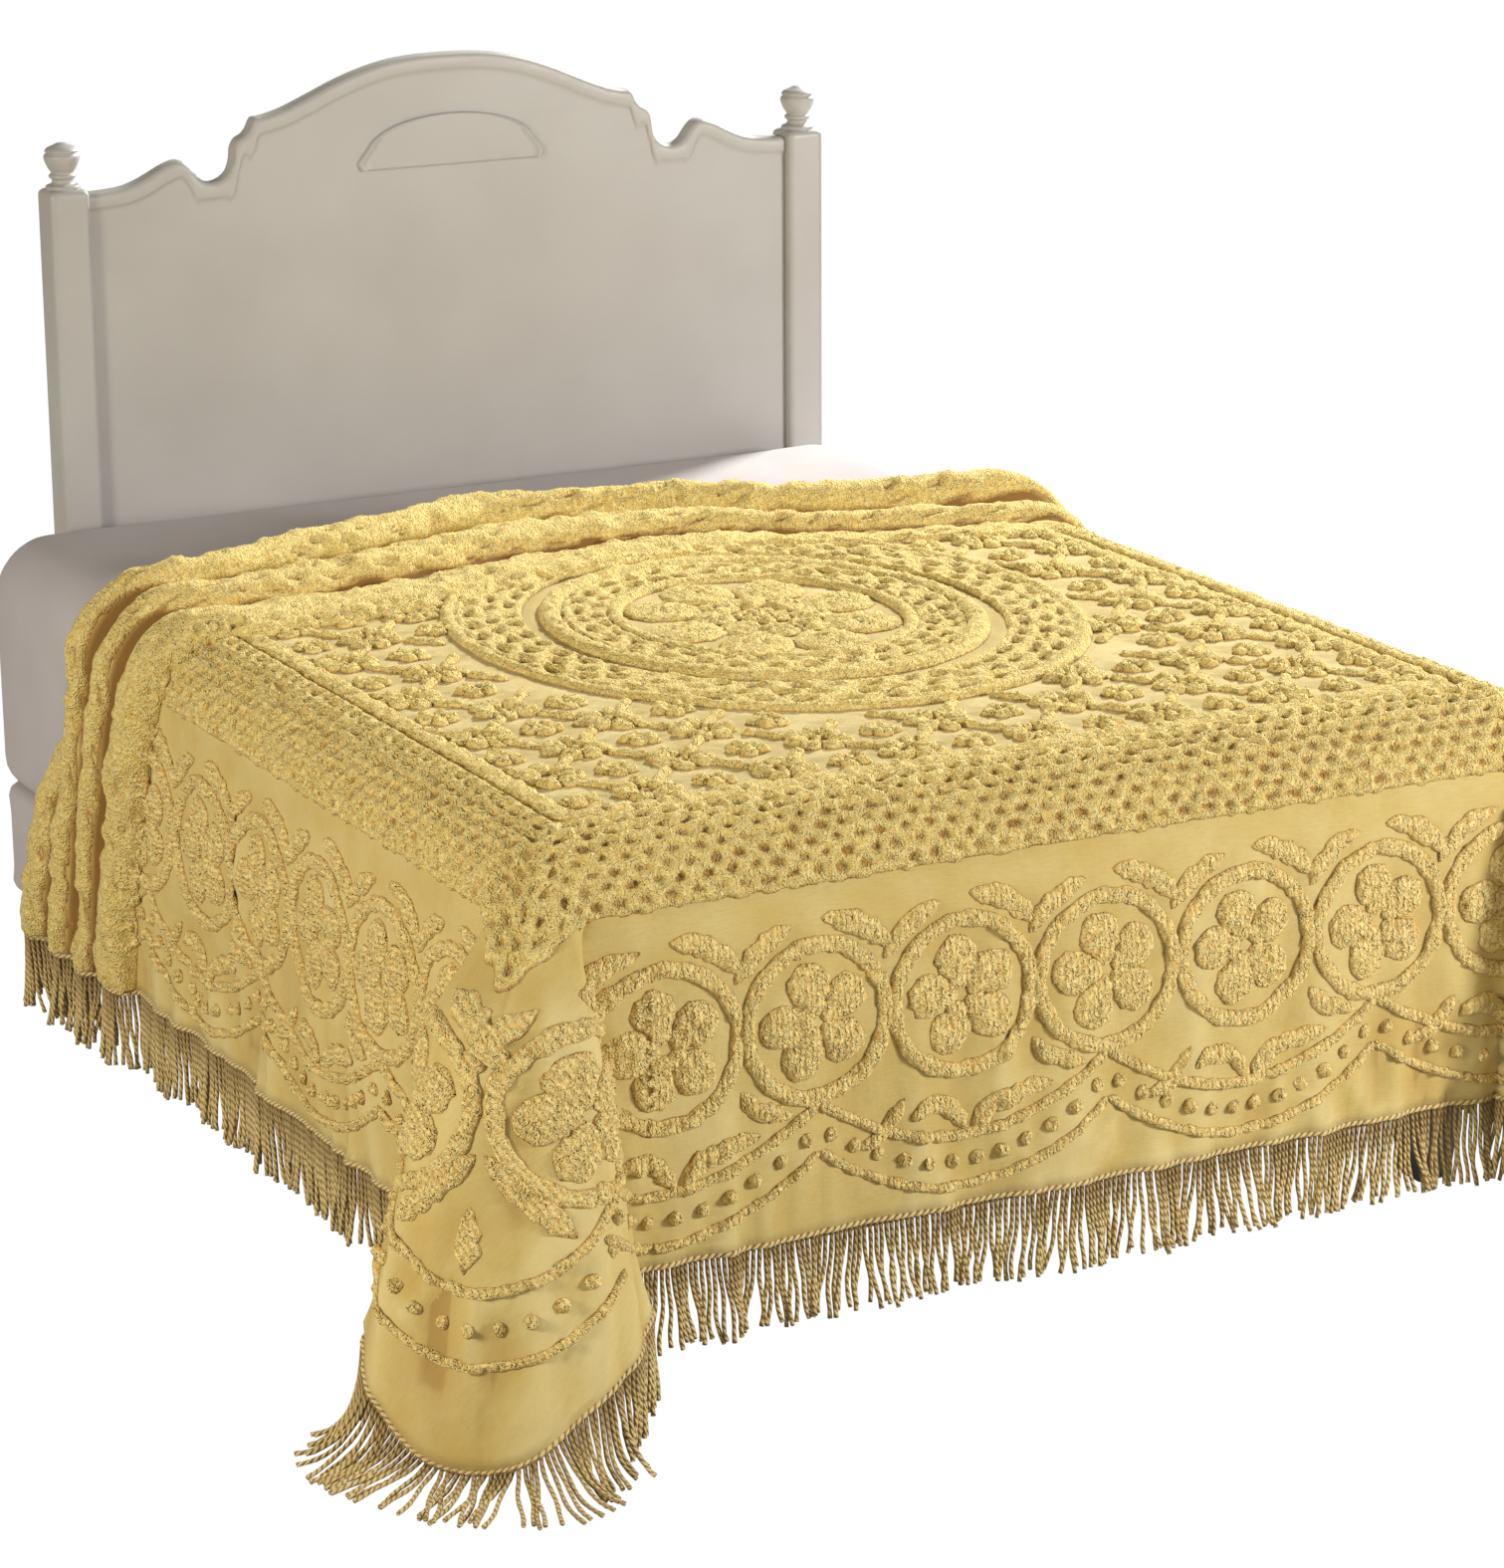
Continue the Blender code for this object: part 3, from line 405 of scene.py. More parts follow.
class Pile:
    """Raised tufting: flat points with heights, gathered into one mesh."""

    def __init__(self):
        self.points, self.faces, self.count = [], [], 0

    def grid(self, u, v, h, closed=False, cap=False):
        rows, cols = u.shape
        self.points.append(np.stack([u.ravel(), v.ravel(), h.ravel()], 1))
        faces = grid_faces(rows, cols, self.count, closed)
        self.faces += faces.tolist()
        if cap:
            self.faces.append((self.count + np.arange(cols)[::-1]).tolist())
        self.count += rows * cols

    def ribbon(self, path, half, height, across=6, taper=0.5, lump=0.011, seed=0, closed=False):
        """A tufted line along flat points; half is its half width, or one for each point."""
        path = np.asarray(path, float)
        run = np.concatenate([[0.0], np.cumsum(np.linalg.norm(np.diff(path, axis=0), axis=1))])
        n = max(4, int(run[-1] / 0.0042))
        s = np.linspace(0.0, run[-1], n)
        at = np.stack([np.interp(s, run, path[:, k]) for k in range(2)], 1)
        half = np.interp(s, run, half) if np.ndim(half) else np.full(n, half)
        way = np.gradient(at, axis=0)
        if closed:
            way[0] = way[-1] = at[1] - at[-2]
        way /= np.maximum(np.linalg.norm(way, axis=1), 1e-9)[:, None]
        side = np.stack([-way[:, 1], way[:, 0]], 1)
        shape = np.ones(n)
        if not closed:
            ends = max(taper * float(np.max(half)) * 2, 1e-4)
            shape = np.sqrt(np.clip(np.minimum(s + 0.0004, run[-1] - s + 0.0004) / ends, 0.02, 1.0))
        c = np.linspace(-1.0, 1.0, across)
        c = np.sin(c * np.pi / 2 * 0.98)
        su = s[:, None] / lump
        edge = 1 + 0.22 * noise(su * 1.1 + seed * 3.1, np.sign(c)[None, :] * 5.0 + seed, 11)
        width = (half * shape)[:, None] * edge * c[None, :]
        u = at[:, :1] + side[:, :1] * width
        v = at[:, 1:] + side[:, 1:] * width
        dome = (1 - np.abs(c) ** 3.2)[None, :] ** 0.65
        lumps = 0.74 + 0.42 * noise(su * 1.25 + seed * 1.7, c[None, :] * 1.3 + seed * 2.3, 12)
        h = height * shape[:, None] * dome * lumps
        if closed:
            u[-1], v[-1], h[-1] = u[0], v[0], h[0]
        self.grid(u, v, h)

    def blobs(self, centres, rx, ry, angle, height, steps=10, rings=(0.42, 0.78, 1.0), seed=0, rough=0.14):
        """Round tufts; centres (n, 2), the other sizes one value or one for each."""
        centres = np.asarray(centres, float).reshape(-1, 2)
        n = len(centres)
        if not n:
            return
        rx, ry, angle, height = (np.broadcast_to(np.asarray(x, float), (n,)) for x in (rx, ry, angle, height))
        a = np.arange(steps) * 2 * np.pi / steps
        r = np.array([0.0, *rings])
        domes = (1 - r**3.6) ** 0.62
        ids = np.arange(n)[:, None, None]
        jitter = 1 + rough * noise(ids * 7.3 + seed, np.arange(steps)[None, None, :] * 1.31 + seed * 1.9, 13)
        lx = rx[:, None, None] * r[None, :, None] * np.cos(a)[None, None, :] * jitter
        ly = ry[:, None, None] * r[None, :, None] * np.sin(a)[None, None, :] * jitter
        ca, sa = np.cos(angle)[:, None, None], np.sin(angle)[:, None, None]
        u = centres[:, 0][:, None, None] + lx * ca - ly * sa
        v = centres[:, 1][:, None, None] + lx * sa + ly * ca
        bumps = 0.76 + 0.40 * noise(u / 0.0064 + seed, v / 0.0064, 14)
        h = height[:, None, None] * domes[None, :, None] * bumps
        per = 1 + len(rings) * steps
        flat_u = np.concatenate([u[:, 0, :1], u[:, 1:].reshape(n, -1)], 1)
        flat_v = np.concatenate([v[:, 0, :1], v[:, 1:].reshape(n, -1)], 1)
        flat_h = np.concatenate([h[:, 0, :1], h[:, 1:].reshape(n, -1)], 1)
        self.points.append(np.stack([flat_u.ravel(), flat_v.ravel(), flat_h.ravel()], 1))
        one = [[0, 1 + k, 1 + (k + 1) % steps] for k in range(steps)]
        for ring in range(len(rings) - 1):
            b = 1 + ring * steps
            one += [[b + k, b + steps + k, b + steps + (k + 1) % steps, b + (k + 1) % steps] for k in range(steps)]
        tri = np.array([f for f in one if len(f) == 3])
        quad = np.array([f for f in one if len(f) == 4])
        shift = self.count + per * np.arange(n)[:, None, None]
        self.faces += (tri[None] + shift).reshape(-1, 3).tolist()
        if len(quad):
            self.faces += (quad[None] + shift).reshape(-1, 4).tolist()
        self.count += per * n

    def build(self, name, top, folded=False):
        p = np.concatenate(self.points)
        u, v, h = p[:, 0], p[:, 1], p[:, 2]
        base, lengths = fold_lengths(u)
        end = base + sum(lengths) - 0.006 if folded else base + 0.30 * lengths[0]
        off = (v > end) | (np.abs(u) > HALF_X + DROP - 0.001)
        faces = [f for f in self.faces if not off[f].any()]
        used = np.zeros(len(u), bool)
        used[np.concatenate([np.array(f) for f in faces])] = True
        order = np.cumsum(used) - 1
        self.faces = [order[f].tolist() for f in faces]
        u, v, h = u[used], v[used], h[used]
        points, _, _ = cloth(u, v, GROUND_TOP - 0.0008 + h)
        return make(name, points, self.faces, np.stack([u, v], 1), np.clip(h / top, 0, 1))


# ---- the tufted pattern, on the flat cloth -----------------------------------------------------------
CORD = 0.0065
BAND_END = 0.1335
RING_DEPTH = 0.2925
RING_R = 0.0905
RING_HALF = 0.0104
PITCH = 0.1925
FIRST_RING = -0.5315
CORNER_RING = math.radians(26.3)
CORNER_RING_RHO = 0.3125
SIDE_FIRST = -0.745
SWAG = dict(cusp=0.3895, belly=0.4615, low_cusp=0.4475, low_belly=0.5225)
CORNER_SWAG = dict(cusp=0.405, belly=0.500, low_cusp=0.487, low_belly=0.583)
MEDALLION = (0.0250, -0.108)
MEDALLION_R = (0.294, 0.343)
LAST_V = 1.20
PILE_H = 0.0098


def border(p, d, side):
    """Flat point for a place p along the border (from the bed's middle line round the foot corner) at depth d."""
    p, d = np.broadcast_arrays(np.asarray(p, float), np.asarray(d, float))
    past = np.maximum(0.0, p - HALF_X)
    arc = RING_DEPTH * np.pi / 2
    theta = np.clip(past / RING_DEPTH, 0.0, np.pi / 2)
    rest = np.maximum(0.0, past - arc)
    u = np.where(past > 0, HALF_X + d * np.sin(theta), p)
    v = np.where(past > 0, -FOOT_Y - d * np.cos(theta), -FOOT_Y - d) + rest
    return np.stack([side * u, v], -1)


def place(local, at, turn, mirror=1.0):
    """Local pattern points (x along the border, y down the drop) at a flat centre; turn is the way round the corner."""
    local = np.asarray(local, float)
    x, y = local[:, 0] * mirror, local[:, 1]
    c, s = math.cos(turn), math.sin(turn)
    # x runs along +u on the foot side, y runs toward -v
    return np.stack([at[0] + x * c - y * s, at[1] - x * s - y * c], 1)


def arc_points(r, a0, a1, n=24):
    a = np.radians(np.linspace(a0, a1, n))
    return np.stack([r * np.cos(a), -r * np.sin(a)], 1)


def curve(points, n=28):
    """A smooth line through a few points."""
    points = np.asarray(points, float)
    t = np.linspace(0, len(points) - 1, n)
    i = np.clip(t.astype(int), 0, len(points) - 2)
    f = (t - i)[:, None]
    p0, p1, p2, p3 = points[np.maximum(i - 1, 0)], points[i], points[i + 1], points[np.minimum(i + 2, len(points) - 1)]
    return 0.5 * (2 * p1 + (p2 - p0) * f + (2 * p0 - 5 * p1 + 4 * p2 - p3) * f**2 + (3 * p1 - 3 * p2 + p3 - p0) * f**3)


def leaf(pile, points, half, seed):
    path = curve(points)
    s = np.linspace(0, 1, len(path))
    pile.ribbon(path, half * (0.66 + 0.34 * np.sin(np.pi * s) ** 0.8), PILE_H, across=7, taper=0.8, lump=0.009, seed=seed)


def ring_flower(pile, at, turn, seed):
    """A ring with a five-petalled flower in it and the two leaves on its shoulders."""
    pile.ribbon(place(arc_points(RING_R, 90, 450, 90), at, turn), RING_HALF, PILE_H, across=7, seed=seed, closed=True)
    petals = np.radians(104.0 - 72.0 * np.arange(5) + 4 * noise(np.arange(5) * 3.3, np.full(5, float(seed)), 21))
    local = np.stack([0.0460 * np.cos(petals), -0.0460 * np.sin(petals)], 1)
    pile.blobs(place(local, at, turn), 0.0292, 0.0280, 0.0, PILE_H * 1.10, steps=20,
               rings=(0.22, 0.42, 0.60, 0.76, 0.90, 1.0), seed=seed, rough=0.10)
    joint = np.stack([0.0215 * np.cos(petals), -0.0215 * np.sin(petals)], 1)
    pile.blobs(place(joint, at, turn), 0.0160, 0.0160, 0.0, PILE_H * 0.9, steps=12, rings=(0.35, 0.65, 0.88, 1.0), seed=seed + 3)


def shoulders(pile, at, turn, seed):
    leaf(pile, place(arc_points(0.1195, 150, 104, 5), at, turn), 0.0128, seed)
    leaf(pile, place(arc_points(0.1210, 86, 36, 5), at, turn), 0.0142, seed + 1)


UNDER_LEAVES = (
    dict(points=((-0.072, 0.140), (-0.045, 0.127), (-0.014, 0.138), (0.006, 0.166)), half=0.0125),
    dict(points=((0.016, 0.176), (0.026, 0.146), (0.060, 0.131), (0.116, 0.121)), half=0.0135),
    dict(points=((-0.139, 0.163), (-0.106, 0.150), (-0.078, 0.112)), half=0.0095),
    dict(points=((0.092, 0.066), (0.112, 0.090), (0.160, 0.106)), half=0.0115),
)


def swag(pile, p0, p1, side, sizes, dots, seed):
    """The double line hanging between two cusps, with dots between its lines."""
    t = np.linspace(0.0, 1.0, 60)
    hang = 1 - np.abs(2 * t - 1) ** 1.9
    p = lerp(p0, p1, t)
    for top, low, half in (("cusp", "belly", 0.0070), ("low_cusp", "low_belly", 0.0062)):
        line = border(p, lerp(sizes[top], sizes[low], hang), side)
        pile.ribbon(line, half, PILE_H * 0.92, across=6, taper=0.6, seed=seed + 7 * (half > 0.0065))
    s = (np.arange(dots) + 0.5) / dots
    mid = 1 - np.abs(2 * s - 1) ** 1.9
    d = (lerp(sizes["cusp"], sizes["belly"], mid) + lerp(sizes["low_cusp"], sizes["low_belly"], mid)) / 2
    pile.blobs(border(lerp(p0, p1, s), d, side), 0.0092, 0.0092, 0.0, PILE_H * 1.05, steps=12, rings=(0.36, 0.68, 0.90, 1.0), seed=seed)


def side_place(p):
    """p along the border for a place v on the long side."""
    return HALF_X + RING_DEPTH * np.pi / 2 + (p + FOOT_Y)


def border_pattern():
    """Rings, leaves and swags round the three hanging sides."""
    rings, trims = Pile(), Pile()
    left_side = [SIDE_FIRST + PITCH * k for k in range(10)]
    right_side = [-0.8355 + PITCH * k for k in range(10)]
    foot = [FIRST_RING + PITCH * k for k in range(7)]
    seed = 1
    for k, u in enumerate(foot):
        at = (u, -FOOT_Y - RING_DEPTH)
        ring_flower(rings, at, 0.0, seed)
        shoulders(trims, at, 0.0, seed)
        if k % 2 == 0:
            for row in UNDER_LEAVES:
                leaf(trims, place(row["points"], at, 0.0), row["half"], seed + 2)
        seed += 5
    for theta in (CORNER_RING, math.pi / 2 - CORNER_RING):
        at = (-HALF_X - CORNER_RING_RHO * math.sin(theta), -FOOT_Y - CORNER_RING_RHO * math.cos(theta))
        ring_flower(rings, at, theta, seed)
        shoulders(trims, at, theta, seed)
        seed += 5
    at = (HALF_X + 0.233, -FOOT_Y - 0.233)
    ring_flower(rings, at, -math.pi / 4, seed)
    shoulders(trims, at, -math.pi / 4, seed)
    for side, rows in ((-1, left_side), (1, right_side)):
        turn = math.pi / 2 if side < 0 else -math.pi / 2
        for k, v in enumerate(rows):
            if v > LAST_V:
                continue
            at = (side * (HALF_X + RING_DEPTH), v)
            seed += 5
            ring_flower(rings, at, turn, seed)
            shoulders(trims, at, turn, seed)
            if k % 2 == 0:
                for row in UNDER_LEAVES:
                    leaf(trims, place(row["points"], at, turn, 1.0), row["half"], seed + 2)
    # swags on the foot, from the left corner ring
    left_corner = HALF_X + RING_DEPTH * CORNER_RING
    cusps = [-left_corner] + [foot[k] for k in (1, 3, 5)]
    for k in range(len(cusps) - 1):
        a, b = cusps[k], cusps[k + 1]
        if k == 0:
            swag(trims, left_corner, -b, -1, SWAG, 12, 31 + k)
        else:
            mirror = 1 if (a + b) > 0 else -1
            swag(trims, mirror * a, mirror * b, mirror, SWAG, 12, 31 + k)
    right_corner = HALF_X + RING_DEPTH * math.pi / 4
    swag(trims, foot[5], right_corner, 1, SWAG, 12, 41)
    swag(trims, right_corner, side_place(right_side[1]), 1, SWAG, 12, 42)
    for k in range(1, len(right_side) - 2, 2):
        swag(trims, side_place(right_side[k]), side_place(right_side[k + 2]), 1, SWAG, 12, 43 + k)
    other = HALF_X + RING_DEPTH * (math.pi / 2 - CORNER_RING)
    swag(trims, left_corner - 0.018, other + 0.018, -1, CORNER_SWAG, 11, 55)
    swag(trims, other, side_place(left_side[1]), -1, SWAG, 12, 56)
    for k in range(1, len(left_side) - 2, 2):
        swag(trims, side_place(left_side[k]), side_place(left_side[k + 2]), -1, SWAG, 12, 57 + k)
    # the corner's own leaves: two from the middle and one upright under them
    mid = HALF_X + RING_DEPTH * math.pi / 4
    for mirror in (-1, 1):
        line = border(mid + mirror * np.array([0.004, 0.022, 0.050, 0.074]), np.array([0.350, 0.372, 0.410, 0.440]), -1)
        leaf(trims, line, 0.0150, 71 + mirror)
    leaf(trims, border(np.full(3, mid + 0.006), np.array([0.408, 0.442, 0.482]), -1), 0.0165, 75)
    return rings, trims


def holes(a, b, step, row, half_a, half_b, seed):
    """How far down the pile goes, 0 to 1, in the staggered holes of a waffle; a and b are metres along and across its rows."""
    a0, b0 = a, b
    a = a + 0.30 * half_a * noise(a0 / 0.0090, b0 / 0.0090, seed + 4)
    b = b + 0.30 * half_b * noise(a0 / 0.0080, b0 / 0.0080, seed + 5)
    near = np.round(b / row)
    deep = np.zeros_like(a)
    for way in (-1, 0, 1):
        j = near + way
        shift = 0.5 * (j % 2)
        i = np.round(a / step - shift)
        mid_a = (i + shift) * step + 0.09 * step * (2 * lattice(i, j, seed) - 1)
        mid_b = j * row + 0.10 * row * (2 * lattice(i, j, seed + 1) - 1)
        size = 0.80 + 0.42 * lattice(i, j, seed + 2)
        da, db = a - mid_a, b - mid_b
        da = da + 0.45 * db * (2 * lattice(i, j, seed + 3) - 1)
        r = np.hypot(da / (half_a * size), db / (half_b * size))
        deep = np.maximum(deep, smooth(1.42 - r) * (0.86 + 0.14 * lattice(i, j, seed + 6)))
    return deep


def fluff(u, v, seed):
    """Uneven tops of pile, about 1."""
    return 0.92 + 0.16 * noise(u / 0.0068, v / 0.0068, seed) + 0.08 * noise(u / 0.0170, v / 0.0170, seed + 1)


def waffle_height(u, v):
    """Pile of the waffled band round the field at flat points."""
    du, dv = np.maximum(0.0, np.abs(u) - HALF_X), np.maximum(0.0, -FOOT_Y - v)
    side = du > dv
    along, depth = np.where(side, v, u), np.where(side, du, dv)
    deep = holes(along, depth - 0.0180, 0.0305, 0.0165, 0.0104, 0.0066, 151)
    deep = deep * smooth((depth - 0.006) / 0.006)
    low = BAND_END - 0.002 + 0.0030 * noise(along / 0.0130, depth * 0, 153)
    shape = np.sqrt(np.clip((low - depth) / 0.009, 0.0, 1.0)) * np.sqrt(np.clip((depth - 0.0015) / 0.006, 0.0, 1.0))
    return PILE_H * 1.04 * shape * (1 - 0.93 * deep) * fluff(u, v, 155)


def waffle_band():
    """The waffled band round the field: close pile with staggered holes."""
    pile = Pile()
    fine = 0.0033
    depth = np.linspace(0.0, BAND_END + 0.0015, int(BAND_END / fine))
    across = np.linspace(-HALF_X, HALF_X, int(2 * HALF_X / fine))
    u, d = np.meshgrid(across, depth, indexing="ij")
    pile.grid(u, -FOOT_Y - d, waffle_height(u, -FOOT_Y - d))
    for side in (-1, 1):
        limit = float(fold_row(np.array([side * (HALF_X + 0.06)]))["base"][0]) + 0.16
        run = np.linspace(-FOOT_Y, limit, int((limit + FOOT_Y) / fine))
        v, d = np.meshgrid(run, depth, indexing="ij")
        pile.grid(side * (HALF_X + d), v, waffle_height(side * (HALF_X + d), v))
        du, dv = np.meshgrid(depth, depth, indexing="ij")
        pile.grid(side * (HALF_X + du), -FOOT_Y - dv, waffle_height(side * (HALF_X + du), -FOOT_Y - dv))
    return pile


def fold_pile():
    """The head end, all pile: it lies in the bunched folds, with slits along them and deep lines between them."""
    pile = Pile()
    reach = HALF_X + DROP - 0.004
    across = np.linspace(-reach, reach, 470)
    places = np.linspace(0.06, FOLDS - 0.02, 108)
    u, q = np.meshgrid(across, places, indexing="ij")
    v = fold_v(u.ravel(), q.ravel()).reshape(u.shape)
    edge = np.sqrt(np.clip((q - 0.06) / 0.16, 0.0, 1.0)) * np.sqrt(np.clip((FOLDS - 0.02 - q) / 0.10, 0.0, 1.0))
    slits = holes(u, v, 0.0560, 0.0230, 0.0185, 0.0042, 161) * (noise(u / 0.070, v / 0.045, 166) > -0.40)
    hung = smooth((np.abs(u) - HALF_X + 0.03) / 0.09)
    # The valleys between the folds lower the pile to almost nothing; their low pile value then gives them the dark
    # painted shade of the gaps.
    at = q - 0.11 - 0.10 * hung + 0.05 * noise(u / 0.045, q * 1.7, 167)
    valley = np.minimum(1.0, (1.0 + 0.30 * hung) * np.exp(-(((at - np.round(at)) / (0.120 + 0.060 * hung)) ** 2))) * (q > 0.6)
    cords = 0.90 + 0.10 * np.cos(2 * np.pi * v / 0.047 + 1.6 * noise(u / 0.09, v / 0.09, 162))
    lumps = 0.88 + 0.42 * noise(u / 0.0240, v / 0.0300, 163)
    pile.grid(u, v, PILE_H * 1.15 * edge * (1 - 0.90 * slits) * (1 - 0.97 * valley) * cords * lumps * fluff(u, v, 165))
    return pile


def medallion_rho(p):
    p = np.asarray(p, float)
    return np.hypot((p[..., 0] - MEDALLION[0]) / MEDALLION_R[0], (p[..., 1] - MEDALLION[1]) / MEDALLION_R[1])


def field():
    """Large ring flowers on a diamond lattice, short cords between them and a small flower in each diamond."""
    tufts = Pile()
    step_u, step_v = 0.0860, 0.0985
    big, small, links = [], [], []
    rows = 15
    for j in range(rows):
        for i in range(-2, 16):
            p = (-0.4660 + step_u * i + 0.009 * (j % 2) + 0.006 * (lattice(i, j, 51) - 0.5), -0.7560 + step_v * j + 0.006 * (lattice(i, j, 52) - 0.5))
            if abs(p[0]) < HALF_X - 0.036:
                (big if (i + j) % 2 == 0 else small).append(p)
            if (i + j) % 2 == 0:
                for way in (-1, 1):
                    links.append((p[0] + way * step_u / 2, p[1] + step_v / 2, way))
    big, small = np.array(big), np.array(small)
    big, small = big[medallion_rho(big) > 1.450], small[medallion_rho(small) > 1.425]
    for k, p in enumerate(big):
        n = 7
        a = np.radians(90 + 360 / n * np.arange(n)) + 0.9 * lattice(k, 1, 2)
        ring = p + (0.0265 + 0.003 * (lattice(np.arange(n), k, 3) - 0.5))[:, None] * np.stack([np.cos(a), 1.06 * np.sin(a)], 1)
        tufts.blobs(ring, 0.0172 + 0.003 * (lattice(np.arange(n), k, 5) - 0.5), 0.0150, a, PILE_H * (1.08 + 0.22 * lattice(np.arange(n), k, 6)),
                    steps=10, rings=(0.34, 0.62, 0.84, 1.0), seed=k, rough=0.20)
        tufts.blobs([p + 0.004 * np.array([lattice(k, 7, 7) - 0.5, lattice(k, 8, 7) - 0.5])], 0.0078, 0.0070, 0.0, PILE_H * 0.80, steps=8, rings=(0.6, 1.0), seed=k + 2)
    for k, p in enumerate(small):
        a = np.radians(18 + 72 * np.arange(5)) + 0.6 * lattice(k, 2, 3)
        ring = p + 0.0142 * np.stack([1.05 * np.cos(a), 1.05 * np.sin(a)], 1)
        tufts.blobs(ring, 0.0132, 0.0118, a, PILE_H * (1.0 + 0.25 * lattice(np.arange(5), k, 6)), steps=10, rings=(0.38, 0.70, 0.90, 1.0), seed=k, rough=0.20)
        tufts.blobs([p], 0.0085, 0.0075, 0.0, PILE_H * 0.95, steps=8, rings=(0.6, 1.0), seed=k + 2)
    slope_length = math.hypot(step_u, step_v)
    for k, (x, y, way) in enumerate(links):
        slope = np.array([way * step_u, step_v]) / slope_length
        across = np.array([-slope[1], slope[0]])
        line = np.array([x, y]) + np.linspace(-1, 1, 7)[:, None] * slope * 0.0290 + np.array([0.0, 0.6, 0.2, 0.0, -0.2, 0.3, 0.0])[:, None] * across * 0.004 * (lattice(k, 5, 8) - 0.5) * 2
        if abs(x) > HALF_X - 0.022 or not (medallion_rho(line) > 1.385).all():
            continue
        tufts.ribbon(line, 0.0080, PILE_H * 1.02, across=6, lump=0.009, seed=k)
    # the cord round the field on its three sides
    run = np.linspace(-HALF_X + 0.010, HALF_X - 0.010, 40)
    up = np.linspace(-FOOT_Y + 0.012, 0.60, 60)
    tufts.ribbon(np.stack([run, np.full(40, -FOOT_Y + 0.0190)], 1), 0.0175, PILE_H * 1.05, across=9, seed=91)
    for side in (-1, 1):
        tufts.ribbon(np.stack([np.full(60, side * (HALF_X - 0.0190)), up], 1), 0.0160, PILE_H * 1.05, across=9, seed=93 + side)
    return tufts


def medallion_height(rho, angle, u, v):
    """Pile over the oval rings: a cord, a waffle of three rows of holes, bare ground, a thick cord, two rows of holes, a cord."""
    arc = 0.314 * angle * rho

    def cord(middle, half, height):
        return height * np.sqrt(np.clip(1 - np.abs((rho - middle) / half) ** 2.6, 0.0, 1.0))

    def waffle(inner, outer, first, row, count, seed):
        at = angle / (2 * np.pi) * count
        deep = holes(at * 0.05, (rho - first) / row * 0.031, 0.05, 0.031, 0.0155, 0.0118, seed)
        edge = np.sqrt(np.clip((rho - inner) / 0.014, 0.0, 1.0)) * np.sqrt(np.clip((outer - rho) / 0.014, 0.0, 1.0))
        return edge * (1 - 0.92 * deep)

    h = np.maximum(cord(1.352, 0.032, 1.10), waffle(1.030, 1.322, 1.092, 0.091, 44, 171))
    h = np.maximum(h, cord(0.912, 0.050, 1.35))
    h = np.maximum(h, waffle(0.664, 0.868, 0.712, 0.088, 32, 174))
    h = np.maximum(h, cord(0.632, 0.033, 1.15))
    return PILE_H * h * fluff(u, v, 177) + 0.0006 * np.sin(arc / 0.009) * (h > 0.2)


def medallion():
    """Oval rings, two waffled bands and a large eight-petalled flower filled with tufting."""
    tufts = Pile()
    centre = np.array(MEDALLION)
    rho, angle = np.meshgrid(np.linspace(0.594, 1.388, 78), np.arange(620) * 2 * np.pi / 620, indexing="ij")
    u = centre[0] + MEDALLION_R[0] * rho * np.cos(angle)
    v = centre[1] + MEDALLION_R[1] * rho * np.sin(angle)
    tufts.grid(u, v, medallion_height(rho, angle, u, v), closed=True)
    # the flower: outer petals, inner petals and the eye
    a = np.arange(8) * np.pi / 4 + 0.16
    for ring_u, ring_v, rx, ry, seed in ((0.1240, 0.1500, 0.0530, 0.0500, 11), (0.0630, 0.0760, 0.0300, 0.0295, 12)):
        spots = centre + np.stack([ring_u * np.cos(a), ring_v * np.sin(a)], 1)
        tufts.blobs(spots, rx, ry, a, PILE_H * (1.25 if seed == 11 else 1.12), steps=34, rings=(0.12, 0.24, 0.36, 0.48, 0.60, 0.72, 0.82, 0.90, 0.96, 1.0), seed=seed, rough=0.06)
        a = a + np.pi / 8
    a = np.arange(7) * 2 * np.pi / 7
    tufts.blobs(centre + 0.0250 * np.stack([np.cos(a), np.sin(a)], 1), 0.0145, 0.0125, a, PILE_H, steps=14, rings=(0.3, 0.6, 0.85, 1.0), seed=13)
    tufts.blobs([centre], 0.0140, 0.0140, 0.0, PILE_H * 1.1, steps=10, rings=(0.5, 0.8, 1.0), seed=14)
    return tufts


